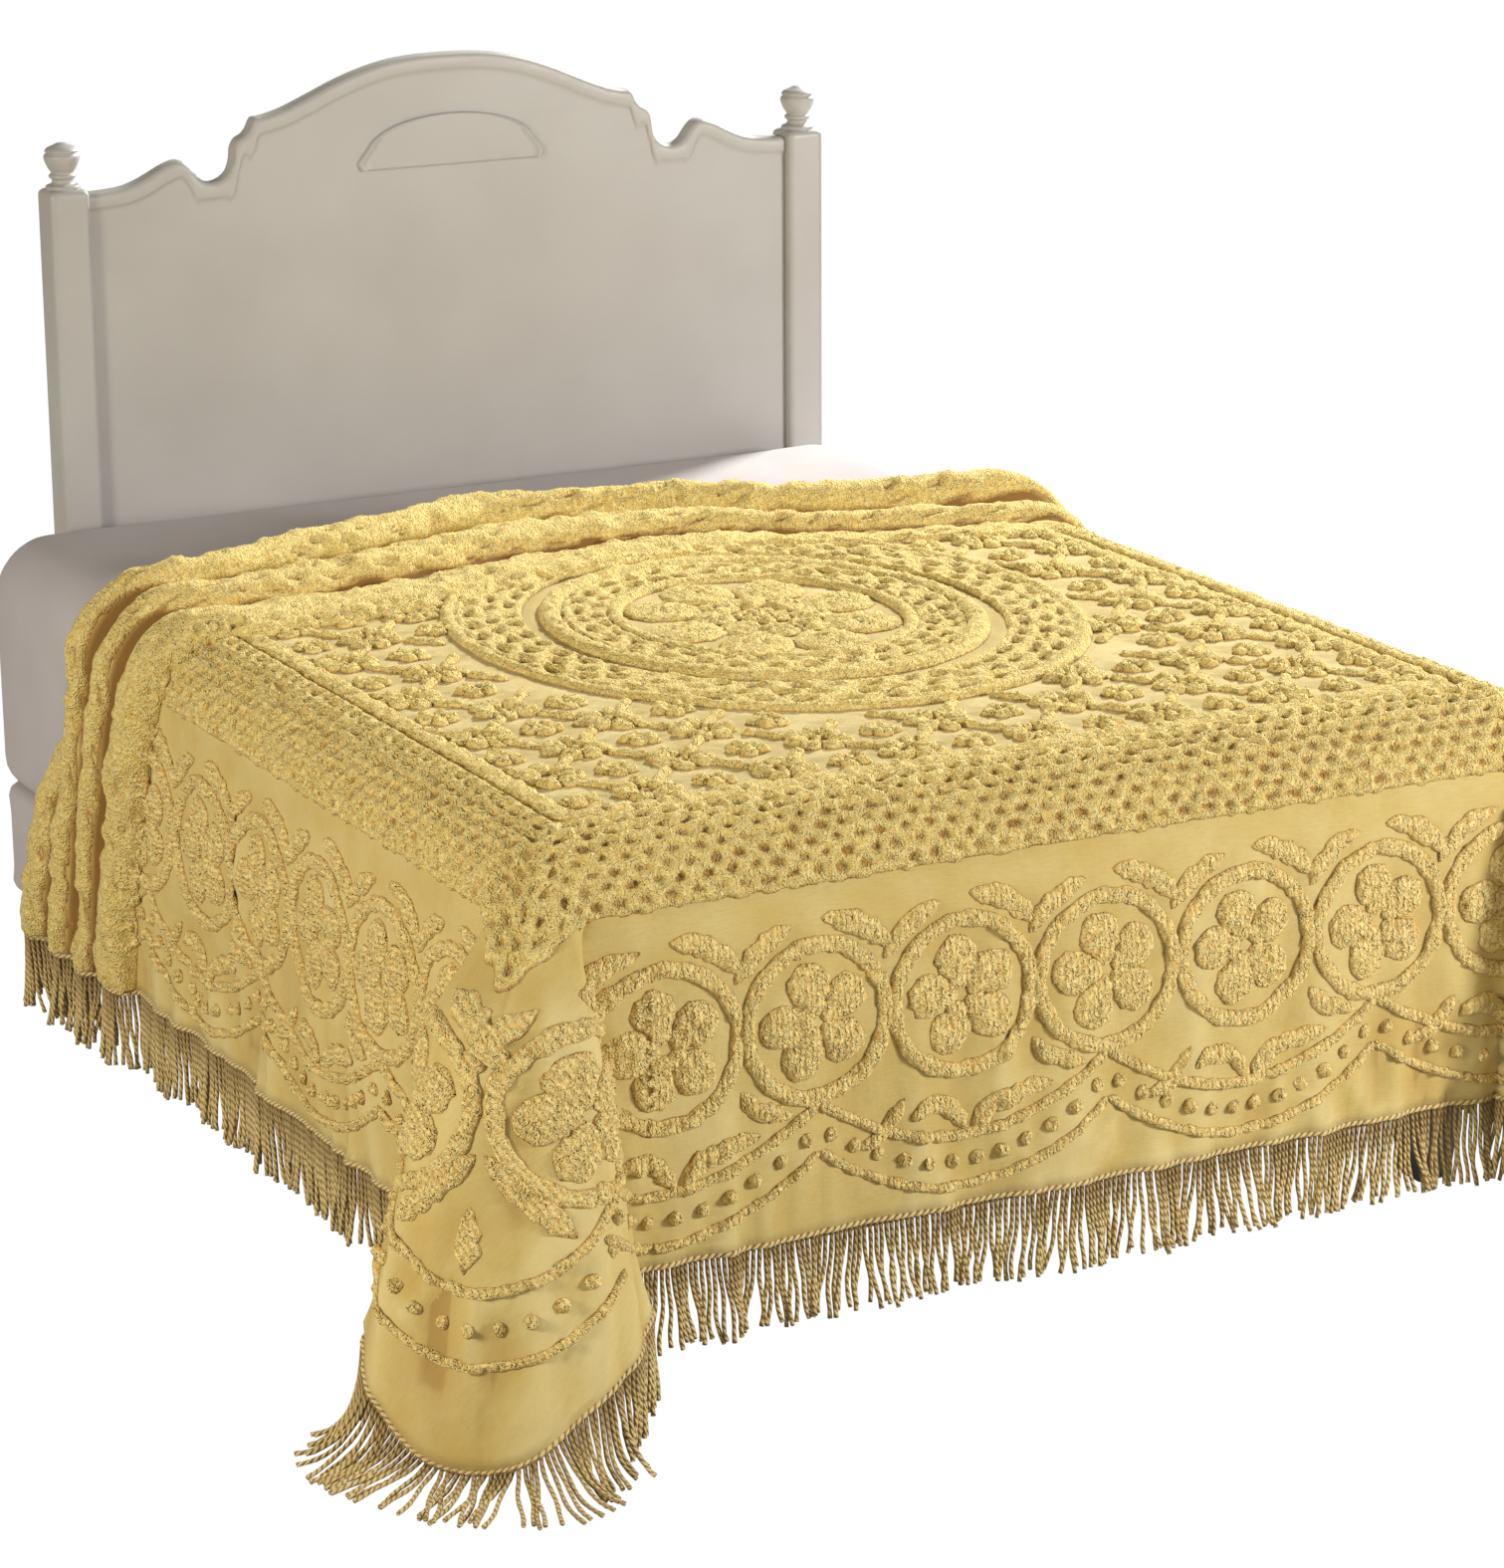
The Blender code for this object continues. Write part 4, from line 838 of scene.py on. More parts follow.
# ---- cloth sheet --------------------------------------------------------------------------------------
def sheet_mesh():
    """The ground cloth as grids, welded, two skins thick."""
    columns = np.linspace(-HALF_X, HALF_X, 84)
    flat = np.linspace(0.0, 1.0, 66)
    folds = np.linspace(0.0, FOLDS - 1e-6, 101)[1:]
    drop = np.linspace(0.0, 1.0, 40)[1:] ** 0.95 * DROP
    depths = np.concatenate([[0.0], drop])
    theta_steps = 70
    grids = []

    def along(u):
        base = fold_row(u)["base"]
        v = np.concatenate([lerp(-FOOT_Y, base[:, None], flat[None, :]), np.repeat(base[:, None], len(folds), 1)], 1)
        q = np.concatenate([np.full(len(flat), -1.0), folds])[None, :].repeat(len(u), 0)
        return v, q

    v, q = along(columns)
    grids.append((np.repeat(columns[:, None], v.shape[1], 1), v, q))
    for side in (-1, 1):
        us = side * (HALF_X + depths)
        v, q = along(us)
        g = (np.repeat(us[:, None], v.shape[1], 1), v, q)
        grids.append(tuple(a[::-1] for a in g) if side < 0 else g)
        theta = np.linspace(0.0, np.pi / 2, theta_steps)
        rho = (depths / DROP)[None, :] * hem_depth(theta)[:, None]
        u = side * (HALF_X + rho * np.sin(theta)[:, None])
        u[-1] = us
        u[0] = side * HALF_X
        v = -FOOT_Y - rho * np.cos(theta)[:, None]
        v[-1] = -FOOT_Y
        g = (u, v, np.full(u.shape, -1.0))
        grids.append(tuple(a[::-1, ::-1] for a in g) if side < 0 else tuple(a[:, ::-1] for a in g))
    v = np.repeat(-FOOT_Y - depths[::-1][None, :], len(columns), 0)
    u = np.repeat(columns[:, None], len(depths), 1)
    grids.append((u, v, np.full(u.shape, -1.0)))
    keys, us, vs, qs, faces = {}, [], [], [], []
    for gu, gv, gq in grids:
        ids = np.empty(gu.shape, int)
        for i in range(gu.shape[0]):
            for j in range(gu.shape[1]):
                key = (round(gu[i, j], 6), round(gv[i, j], 6), round(max(gq[i, j], -0.5), 5))
                if key not in keys:
                    keys[key] = len(us)
                    us.append(gu[i, j])
                    vs.append(gv[i, j])
                    qs.append(gq[i, j])
                ids[i, j] = keys[key]
        for i in range(gu.shape[0] - 1):
            for j in range(gu.shape[1] - 1):
                face = [ids[i, j], ids[i + 1, j], ids[i + 1, j + 1], ids[i, j + 1]]
                face = [int(n) for k, n in enumerate(face) if n != face[k - 1]]
                if len(set(face)) >= 3:
                    faces.append(face)
    return np.array(us), np.array(vs), np.array(qs), faces


def build_cloth():
    u, v, q, faces = sheet_mesh()
    top, normal, vv = cloth(u, v, np.full(len(u), GROUND_TOP), q)
    low = top - normal * (GROUND_TOP - GROUND_LOW)
    count = len(u)
    points = np.concatenate([top, low])
    made = list(faces) + [[n + count for n in f][::-1] for f in faces]
    edges = {}
    for face in faces:
        for k in range(len(face)):
            a, b = face[k - 1], face[k]
            if (b, a) in edges:
                del edges[(b, a)]
            else:
                edges[(a, b)] = True
    made += [[b, a, a + count, b + count] for a, b in edges]
    uv = np.stack([u, vv], 1)
    # The relief value carries painted shade and light to the ground: low in the crease troughs, high on the ridges, and
    # cut toward nothing in the valleys under the head folds for a dark painted shade there.
    relief = np.clip(0.5 + creases(u, vv) / 0.015, 0.10, 1.0)
    hung = smooth((np.abs(u) - HALF_X + 0.03) / 0.09)
    at = q - 0.11 - 0.10 * hung
    relief = relief * (1 - np.minimum(1.0, 1.5 * np.exp(-(((at - np.round(at)) / 0.150) ** 2))) * (q > 0.6))
    return make("cloth_ground", points, made, np.concatenate([uv, uv]), np.concatenate([relief, relief]))


# ---- fringe ---------------------------------------------------------------------------------------------
def hem_points():
    """Hem at mid thickness and its outward way, finely, from the left head end round to the right."""
    us, vs, qs = [], [], []
    folds = np.linspace(0.0, FOLDS - 1e-6, 160)
    hem_u = HALF_X + DROP
    base = {s: float(fold_row(np.array([s * hem_u]))["base"][0]) for s in (-1, 1)}
    us += [-hem_u] * 160
    vs += [base[-1]] * 160
    qs += list(folds[::-1])
    t = np.linspace(1.0, 0.0, 200)[1:-1]
    us += [-hem_u] * len(t)
    vs += list(lerp(-FOOT_Y, base[-1], t))
    qs += [-1.0] * len(t)
    theta = np.linspace(np.pi / 2, 0.0, 200)
    rho = hem_depth(theta)
    us += list(-HALF_X - rho * np.sin(theta))
    vs += list(-FOOT_Y - rho * np.cos(theta))
    qs += [-1.0] * 200
    t = np.linspace(-1.0, 1.0, 200)[1:-1]
    us += list(t * HALF_X)
    vs += [-FOOT_Y - DROP] * len(t)
    qs += [-1.0] * len(t)
    theta = theta[::-1]
    rho = hem_depth(theta)
    us += list(HALF_X + rho * np.sin(theta))
    vs += list(-FOOT_Y - rho * np.cos(theta))
    qs += [-1.0] * 200
    t = np.linspace(0.0, 1.0, 200)[1:-1]
    us += [hem_u] * len(t)
    vs += list(lerp(-FOOT_Y, base[1], t))
    qs += [-1.0] * len(t)
    us += [hem_u] * 160
    vs += [base[1]] * 160
    qs += list(folds)
    u, v, q = np.array(us), np.array(vs), np.array(qs)
    p, n, _ = cloth(u, v, np.full(len(u), GROUND_TOP / 2 + 0.0005), q)
    way = np.gradient(p[:, :2], axis=0)
    way /= np.maximum(np.linalg.norm(way, axis=1), 1e-9)[:, None]
    out = np.stack([way[:, 1], -way[:, 0], 0 * way[:, 0]], 1)
    run = np.concatenate([[0.0], np.cumsum(np.linalg.norm(np.diff(p, axis=0), axis=1))])
    return p, out, run


def tubes(name, lines, radius, sides, twist_pitch):
    """Round yarns along polylines of equal point count; UV x goes round, y is the length in metres."""
    lines = np.asarray(lines)
    n, m = lines.shape[:2]
    way = np.gradient(lines, axis=1)
    way /= np.maximum(np.linalg.norm(way, axis=2), 1e-9)[..., None]
    ref = np.array([0.0, 0.0, 1.0])
    a = np.cross(way, ref)
    weak = np.linalg.norm(a, axis=2) < 0.2
    a[weak] = np.cross(way[weak], np.array([0.3, 1.0, 0.0]))
    a /= np.linalg.norm(a, axis=2)[..., None]
    for k in range(1, m):  # keep the frame steady along each yarn
        b = a[:, k - 1] - np.sum(a[:, k - 1] * way[:, k], 1)[:, None] * way[:, k]
        a[:, k] = b / np.linalg.norm(b, axis=1)[:, None]
    b = np.cross(way, a)
    angle = np.arange(sides) * 2 * np.pi / sides
    radius = np.broadcast_to(np.asarray(radius, float), (n, m))
    ring = radius[..., None, None] * (np.cos(angle)[:, None] * a[:, :, None, :] + np.sin(angle)[:, None] * b[:, :, None, :])
    points = (lines[:, :, None, :] + ring).reshape(-1, 3)
    along = np.concatenate([np.zeros((n, 1)), np.cumsum(np.linalg.norm(np.diff(lines, axis=1), axis=2), axis=1)], 1)
    one = grid_faces(m, sides, 0, True)
    faces = (one[None] + (np.arange(n) * m * sides)[:, None, None]).reshape(-1, 4).tolist()
    for k in range(n):
        first = k * m * sides
        faces.append(list(range(first, first + sides))[::-1])
        faces.append(list(range(first + (m - 1) * sides, first + m * sides)))
    uv = np.stack([np.broadcast_to(angle / (2 * np.pi), (n, m, sides)), np.broadcast_to(along[..., None] / twist_pitch, (n, m, sides))], -1)
    pile = np.broadcast_to(lattice(np.arange(n), 4, 9)[:, None, None], (n, m, sides))
    return make(name, points, faces, uv.reshape(-1, 2), pile.ravel())


def build_fringe():
    p, out, run = hem_points()
    pitch = 0.0066
    count = int(run[-1] / pitch)
    k = np.arange(count)
    stops = (k + 0.5) * run[-1] / count + 0.0012 * (lattice(k, 1, 1) - 0.5)
    root = np.stack([np.interp(stops, run, p[:, i]) for i in range(3)], 1)
    n = np.stack([np.interp(stops, run, out[:, i]) for i in range(3)], 1)
    n /= np.linalg.norm(n, axis=1)[:, None]
    side = np.stack([-n[:, 1], n[:, 0], 0 * n[:, 0]], 1)
    m = 12
    t = np.linspace(0.0, 1.0, m)
    length = FRINGE_LONG * (0.95 + 0.12 * lattice(k, 2, 2))
    floor = 0.0027 + 0.0018 * (k % 2)
    free = np.maximum(root[:, 2] - 0.002 - floor, 0.0)
    hang = np.minimum(free, length)
    spread_out = np.sqrt(np.maximum(length**2 - hang**2, 0.0)) * 0.94
    lean = 0.005 + 0.010 * noise(stops / 0.055, 0 * stops, 41) + 0.007 * (lattice(k, 3, 5) - 0.5)
    drift = 0.016 * noise(stops / 0.034, 0 * stops + 2.0, 42) + 0.013 * (lattice(k, 5, 6) - 0.5)
    low = root[:, 2] - 0.002 - hang
    p0 = root - np.array([0, 0, 0.002])
    p2 = root + n * (spread_out + lean)[:, None] + side * drift[:, None]
    p2[:, 2] = low
    p1 = root + n * (0.30 * spread_out)[:, None] + side * (0.25 * drift)[:, None]
    p1[:, 2] = lerp(p0[:, 2], low, np.where(free < length, 0.92, 0.5))
    tt = t[None, :, None]
    lines = (1 - tt) ** 2 * p0[:, None] + 2 * (1 - tt) * tt * p1[:, None] + tt**2 * p2[:, None]
    wiggle = 0.0036 * np.sin(t[None, :] * 7.0 + 6.28 * lattice(k, 6, 7)[:, None]) * t[None, :]
    lines = lines + side[:, None, :] * wiggle[..., None]
    lines[..., 2] = np.maximum(lines[..., 2], floor[:, None])
    radius = 0.00262 * (1.0 + 0.10 * np.sin(t[None, :] * 23 + 2.4 * k[:, None])) * np.where(t[None, :] > 0.97, 1.10, 1.0)
    yarns = tubes("fringe_yarns", lines, radius, 7, 0.0092)
    # the header: a twisted cord that holds the yarns to the hem
    s = np.linspace(0.0, run[-1], 900)
    line = np.stack([np.interp(s, run, p[:, i]) for i in range(3)], 1)
    line[:, 2] -= 0.0018
    header = tubes("fringe_header", line[None], 0.0033, 8, 0.0090)
    return yarns, header


# ---- bed ------------------------------------------------------------------------------------------------
def rounded_plan(half_x, half_y, radius, steps, per_side):
    points = []
    for quarter, (sx, sy) in enumerate(((1, 1), (-1, 1), (-1, -1), (1, -1))):
        corner = []
        for t in np.linspace(0.0, np.pi / 2, steps):
            a = t + quarter * np.pi / 2
            corner.append((sx * (half_x - radius) + radius * math.cos(a), sy * (half_y - radius) + radius * math.sin(a)))
        points += corner
        nxt = ((-1, 1), (-1, -1), (1, -1), (1, 1))[quarter]
        a = quarter * np.pi / 2 + np.pi / 2
        end = (nxt[0] * (half_x - radius) + radius * math.cos(a), nxt[1] * (half_y - radius) + radius * math.sin(a))
        for t in np.linspace(0.0, 1.0, per_side + 2)[1:-1]:
            points.append((lerp(corner[-1][0], end[0], t), lerp(corner[-1][1], end[1], t)))
    return np.array(points)


def build_mattress():
    """The mattress in its white cover: crowned a little, with a tape edge low down and soft pull folds."""
    rings = []
    profile = []
    for t in np.linspace(0.0, np.pi / 2, 7):
        profile.append((0.045 * (1 - math.sin(t)), MATTRESS_BOTTOM + 0.0006 + 0.045 * (1 - math.cos(t))))
    for z in np.linspace(MATTRESS_BOTTOM + 0.055, TOP - MATTRESS_R - 0.01, 9):
        profile.append((0.0, z))
    for t in np.linspace(0.0, np.pi / 2, 15):
        profile.append((MATTRESS_R * (1 - math.cos(t)), TOP - 0.0010 - MATTRESS_R * (1 - math.sin(t))))
    for inset, z in profile:
        plan = rounded_plan(MATTRESS_HALF_X - inset, MATTRESS_HALF_Y - inset, max(0.004, MATTRESS_R - inset * 0.97), 9, 40)
        rings.append(np.column_stack([plan, np.full(len(plan), z)]))
    inner = rings[-1]
    for f in np.linspace(1.0, 0.0, 26)[1:]:
        rings.append(np.column_stack([inner[:, 0] * f, inner[:, 1] * f, inner[:, 2]]))
    points = np.concatenate(rings)
    x, y, z = points.T
    side = smooth((TOP - 0.04 - z) / 0.05)
    along = np.where(np.abs(x) > MATTRESS_HALF_X - 0.05, y, x)
    fold = noise(along / 0.11, z / 0.30, 51) + 0.5 * noise(along / 0.035, z / 0.16, 52)
    out = np.stack([np.sign(x) * (np.abs(x) > MATTRESS_HALF_X - 0.05), np.sign(y) * (np.abs(y) > MATTRESS_HALF_Y - 0.05), 0 * z], 1)
    points += out * (side * (-0.0012 + 0.0012 * fold))[:, None]
    top = smooth((z - TOP + 0.012) / 0.010)
    bare = smooth((y - 0.50) / 0.12)
    points[:, 2] += top * bare * (0.0015 * noise(x / 0.16, y / 0.05, 53) + 0.0008 * noise(x / 0.05, y / 0.02, 54) - 0.0012)
    count = len(rings[0])
    faces = grid_faces(len(rings), count, 0, True).tolist()
    faces.append(list(range(count))[::-1])
    points[:, 1] += BED_Y
    obj = make("mattress_cover", points, faces, points[:, :2])
    clean(obj)
    return obj


def build_base():
    """The covered box base with its piped edges."""
    profile = [(0.010, BASE_BOTTOM + 0.0005), (0.003, BASE_BOTTOM + 0.004), (0.0, BASE_BOTTOM + 0.012)]
    profile += [(0.0, z) for z in np.linspace(BASE_BOTTOM + 0.02, MATTRESS_BOTTOM - 0.030, 9)]
    profile += [(0.0, MATTRESS_BOTTOM - 0.018), (0.003, MATTRESS_BOTTOM - 0.008), (0.012, MATTRESS_BOTTOM - 0.0012)]
    rings = []
    for inset, z in profile:
        plan = rounded_plan(BASE_HALF_X - inset, BASE_HALF_Y - inset, 0.060 - inset, 9, 60)
        rings.append(np.column_stack([plan, np.full(len(plan), z)]))
    points = np.concatenate(rings)
    x, y, z = points.T
    along = np.where(np.abs(x) > BASE_HALF_X - 0.05, y, x)
    out = np.stack([np.sign(x) * (np.abs(x) > BASE_HALF_X - 0.05), np.sign(y) * (np.abs(y) > BASE_HALF_Y - 0.05), 0 * z], 1)
    low = smooth((z - BASE_BOTTOM - 0.01) / 0.02) * smooth((MATTRESS_BOTTOM - 0.02 - z) / 0.02)
    points += out * (low * (-0.0015 + 0.0018 * noise(along / 0.07, z / 0.4, 61)))[:, None]
    points[:, 1] += BED_Y
    count = len(rings[0])
    faces = grid_faces(len(rings), count, 0, True).tolist()
    faces.append(list(range(count))[::-1])
    faces.append([(len(rings) - 1) * count + i for i in range(count)])
    obj = make("base_cover", points, faces, points[:, :2])
    clean(obj)
    return obj


def clean(obj):
    box = bmesh.new()
    box.from_mesh(obj.data)
    bmesh.ops.remove_doubles(box, verts=box.verts, dist=1e-5)
    bmesh.ops.recalc_face_normals(box, faces=box.faces)
    box.to_mesh(obj.data)
    box.free()
    obj.data.set_sharp_from_angle(angle=math.radians(50))


def build_headboard():
    """The painted panel: smooth scalloped top with a moulded edge, and the arched inset."""
    shape = curve(BOARD_EDGE, 420)
    half = POST_X - POST_HALF - 0.0008
    xs = np.concatenate([np.linspace(0.0, 0.296, 60), np.linspace(0.297, 0.425, 90), np.linspace(0.427, half, 36)])
    zs = np.interp(xs, shape[:, 0], shape[:, 1])
    xs, zs = np.concatenate([-xs[:0:-1], xs]), np.concatenate([zs[:0:-1], zs])
    soft = np.convolve(np.pad(zs, 3, mode="edge"), np.ones(7) / 7, mode="valid")
    slope = np.clip(np.abs(np.gradient(soft, xs)), 0.0, 1.4)
    down = np.sqrt(1 + slope**2)
    low = np.minimum.reduce([np.roll(zs, k) for k in range(-4, 5)])
    y0, y1 = BOARD_Y - BOARD_THICK / 2, BOARD_Y + BOARD_THICK / 2
    r = 0.008
    rows = []
    for inset, y in ((0.0300, y0 + 0.0030), (0.0265, y0 + 0.0030), (0.0235, y0 + 0.0022), (0.0215, y0 + 0.0004), (0.0190, y0),
                     (r, y0), (r * 0.62, y0 + r * 0.08), (r * 0.3, y0 + r * 0.3), (r * 0.08, y0 + r * 0.62), (0.0, y0 + r),
                     (0.0, y1 - r), (r * 0.3, y1 - r * 0.3), (r, y1)):
        share = min(1.0, inset / 0.03)
        edge = lerp(zs, np.minimum(soft, zs), share) - inset * down
        rows.append(np.column_stack([BOARD_X + xs, np.full(len(xs), y), TOP + edge]))
    flat = rows[0]
    lower = []
    for f in np.linspace(0.0, 1.0, 40)[1:]:
        row = flat.copy()
        row[:, 2] = lerp(flat[:, 2], BOARD_BOTTOM, f)
        lower.append(row)
    tail = []
    for f in (0.010, 0.14, 0.29, 0.43, 0.57, 0.71, 0.86, 1.0):
        row = rows[-1].copy()
        row[:, 2] = lerp(rows[-1][:, 2], BOARD_BOTTOM, f)
        tail.append(row)
    grid = np.stack(lower[::-1] + rows + tail)
    count, total = grid.shape[1], grid.shape[0]
    faces = grid_faces(total, count).tolist()
    faces += [[i + 1, i, (total - 1) * count + i, (total - 1) * count + i + 1] for i in range(count - 1)]
    faces += [[k * count for k in range(total)][::-1], [k * count + count - 1 for k in range(total)]]
    points = grid.reshape(-1, 3)
    points[:, 1] += BED_Y
    obj = make("headboard_panel", points, faces)
    clean(obj)
    # the raised arch on the panel
    half_w, low, high = 0.140, 0.456, 0.530
    outline = [(-half_w, low), (-half_w - 0.004, low + 0.012)]
    a = np.linspace(math.pi * 0.93, math.pi * 0.07, 40)
    outline += [(half_w * 0.94 * math.cos(t), low + 0.018 + (high - low - 0.018) * math.sin(t) ** 0.9) for t in a]
    outline += [(half_w + 0.004, low + 0.012), (half_w, low)]
    outline = curve(outline, 160)
    outline = np.concatenate([outline, outline[:1]])
    base = np.linspace(0, 1, 60)[1:-1, None]
    outline = np.concatenate([outline[:-1], outline[-2] + (outline[0] - outline[-2]) * base])
    centre = np.array([0.0, (low + high) / 2])
    rows = []
    for shrink, lift in ((1.035, -0.002), (1.02, 0.0026), (1.0, 0.0040), (0.978, 0.0040), (0.962, 0.0024), (0.90, 0.0024), (0.5, 0.0028), (0.02, 0.0028)):
        ring = centre + (outline - centre) * shrink
        rows.append(np.column_stack([BOARD_X + 0.005 + ring[:, 0], np.full(len(ring), y0 + 0.003 - lift - 0.002), TOP + ring[:, 1]]))
    grid = np.stack(rows)
    faces = grid_faces(grid.shape[0], grid.shape[1], 0, True).tolist()
    faces.append([(grid.shape[0] - 1) * grid.shape[1] + i for i in range(grid.shape[1])])
    points = grid.reshape(-1, 3)
    points[:, 1] += BED_Y
    arch = make("headboard_arch", points, faces)
    clean(arch)
    return obj, arch


def build_post(name, x):
    steps = 48
    angles = 2 * np.pi * (np.arange(steps) + 0.5) / steps

    def square(half, soft):
        c, s = np.cos(angles), np.sin(angles)
        m = half / np.maximum(np.abs(c), np.abs(s))
        m = np.minimum(m, half * 1.414 - soft)
        return np.stack([x + m * c, BOARD_Y + m * s], 1)

    rings = [(square(POST_HALF - 0.003, 0.002), 0.0002), (square(POST_HALF, 0.003), 0.004)]
    rings += [(square(POST_HALF, 0.003), z) for z in np.linspace(0.02, POST_TOP - 0.012, 10)]
    rings += [(square(POST_HALF, 0.003), POST_TOP - 0.007), (square(POST_HALF - 0.0015, 0.003), POST_TOP - 0.003), (square(POST_HALF - 0.005, 0.003), POST_TOP)]
    profile = curve([(r, POST_TOP + 0.0005 + z * 0.8) for r, z in FINIAL], 70)
    for r, z in profile:
        flute = 1.0
        rings.append((np.stack([x + r * flute * np.cos(angles), BOARD_Y + r * flute * np.sin(angles)], 1), z))
    points = np.concatenate([np.column_stack([plan, np.full(steps, z)]) for plan, z in rings])
    points[:, 1] += BED_Y
    faces = grid_faces(len(rings), steps, 0, True).tolist()
    faces.append(list(range(steps))[::-1])
    faces.append([(len(rings) - 1) * steps + i for i in range(steps)])
    obj = make(name, points, faces)
    clean(obj)
    return obj


# ---- materials --------------------------------------------------------------------------------------------
class Shader:
    """Short names for a node material."""

    def __init__(self, name):
        self.material = bpy.data.materials.new(name)
        self.material.use_nodes = True
        self.tree = self.material.node_tree
        self.bsdf = self.tree.nodes["Principled BSDF"]

    def node(self, kind, **values):
        made = self.tree.nodes.new(kind)
        for key, value in values.items():
            if hasattr(made, key):
                setattr(made, key, value)
            else:
                made.inputs[key.replace("_", " ")].default_value = value
        return made

    def link(self, a, b):
        self.tree.links.new(a, b)

    def math(self, op, a, b=None, clamp=False):
        made = self.node("ShaderNodeMath", operation=op, use_clamp=clamp)
        for k, x in enumerate((a, b)):
            if x is None:
                continue
            if isinstance(x, (int, float)):
                made.inputs[k].default_value = x
            else:
                self.link(x, made.inputs[k])
        return made.outputs[0]

    def mix(self, share, a, b):
        made = self.node("ShaderNodeMix", data_type="RGBA")
        for socket, x in ((made.inputs[0], share), (made.inputs[6], a), (made.inputs[7], b)):
            if isinstance(x, (int, float)):
                socket.default_value = x
            elif isinstance(x, tuple):
                socket.default_value = (*x, 1.0)
            else:
                self.link(x, socket)
        return made.outputs[2]

    def spread(self, x, a, b, c=0.0, d=1.0):
        made = self.node("ShaderNodeMapRange")
        self.link(x, made.inputs[0])
        for k, value in enumerate((a, b, c, d)):
            made.inputs[k + 1].default_value = value
        return made.outputs[0]

    def flat(self, scale=(1.0, 1.0, 1.0)):
        uv = self.node("ShaderNodeUVMap", uv_map="flat")
        mapping = self.node("ShaderNodeMapping")
        mapping.inputs[3].default_value = scale
        self.link(uv.outputs[0], mapping.inputs[0])
        return mapping.outputs[0]

    def noise(self, where, scale, detail=2.0, rough=0.5):
        made = self.node("ShaderNodeTexNoise")
        made.inputs["Scale"].default_value = scale
        made.inputs["Detail"].default_value = detail
        made.inputs["Roughness"].default_value = rough
        self.link(where, made.inputs["Vector"])
        return made.outputs[0]

    def bump(self, height, strength, distance, under=None):
        made = self.node("ShaderNodeBump")
        made.inputs["Strength"].default_value = strength
        made.inputs["Distance"].default_value = distance
        self.link(height, made.inputs["Height"])
        if under is not None:
            self.link(under, made.inputs["Normal"])
        return made.outputs[0]


def place_of(s):
    return s.node("ShaderNodeTexCoord").outputs["Object"]


GROUND = (0.670, 0.545, 0.240)
GROUND_DARK = (0.500, 0.355, 0.110)
TIP = (0.980, 0.825, 0.380)
MID = (0.815, 0.570, 0.185)
# Painted shade: the dark orange-brown laid on the lowest pile, at the tufts' feet, in the waffle holes and slits and in
# the valleys between the head folds.
PILE_BASE_SHADE = (0.400, 0.200, 0.050)


def ground_material():
    """Fine plain-woven cotton: threads both ways, faint slubs and soft unevenness, with painted shade in the crease
    troughs and under the head folds and painted light on the crease ridges.
    """
    s = Shader("chenille_ground")
    flat = s.flat()
    weave = []
    for scale, angle in (((1.0, 0.02, 1.0), 0), ((0.02, 1.0, 1.0), 1)):
        wave = s.node("ShaderNodeTexWave", bands_direction="X" if angle == 0 else "Y")
        wave.inputs["Scale"].default_value = 260.0
        wave.inputs["Distortion"].default_value = 1.5
        s.link(s.flat(), wave.inputs["Vector"])
        weave.append(wave.outputs["Fac"])
    threads = s.math("MULTIPLY", weave[0], weave[1])
    slub = s.noise(s.flat((60.0, 420.0, 1.0)), 1.0, 3.0, 0.6)
    soft = s.noise(flat, 14.0, 3.0)
    colour = s.mix(s.spread(soft, 0.3, 0.7), GROUND, (0.600, 0.450, 0.150))
    colour = s.mix(s.math("MULTIPLY", s.spread(slub, 0.45, 0.7), 0.35), colour, GROUND_DARK)
    colour = s.mix(s.math("MULTIPLY", s.spread(threads, 0.0, 0.6), 0.20), colour, (0.740, 0.580, 0.220))
    relief = s.node("ShaderNodeAttribute", attribute_name="pile").outputs["Fac"]
    # Painted shade and light from the crease relief: troughs darker and warmer, ridges paler, and near black-brown
    # painted shade in the deepest troughs and in the valleys under the head folds.
    colour = s.mix(s.math("MULTIPLY", s.spread(relief, 0.50, 0.05), 0.60), colour, (0.500, 0.325, 0.095))
    colour = s.mix(s.math("MULTIPLY", s.spread(relief, 0.54, 0.95), 0.55), colour, (0.770, 0.650, 0.330))
    colour = s.mix(s.math("MULTIPLY", s.spread(relief, 0.16, 0.0), 0.90), colour, (0.235, 0.115, 0.028))
    s.link(colour, s.bsdf.inputs["Base Color"])
    s.bsdf.inputs["Roughness"].default_value = 0.92
    s.bsdf.inputs["Sheen Weight"].default_value = 0.20
    s.bsdf.inputs["Sheen Roughness"].default_value = 0.40
    s.bsdf.inputs["Specular IOR Level"].default_value = 0.15
    low = s.bump(s.noise(flat, 45.0, 3.0), 0.35, 0.004)
    mid = s.bump(slub, 0.25, 0.0012, low)
    s.link(s.bump(threads, 0.35, 0.0006, mid), s.bsdf.inputs["Normal"])
    return s.material


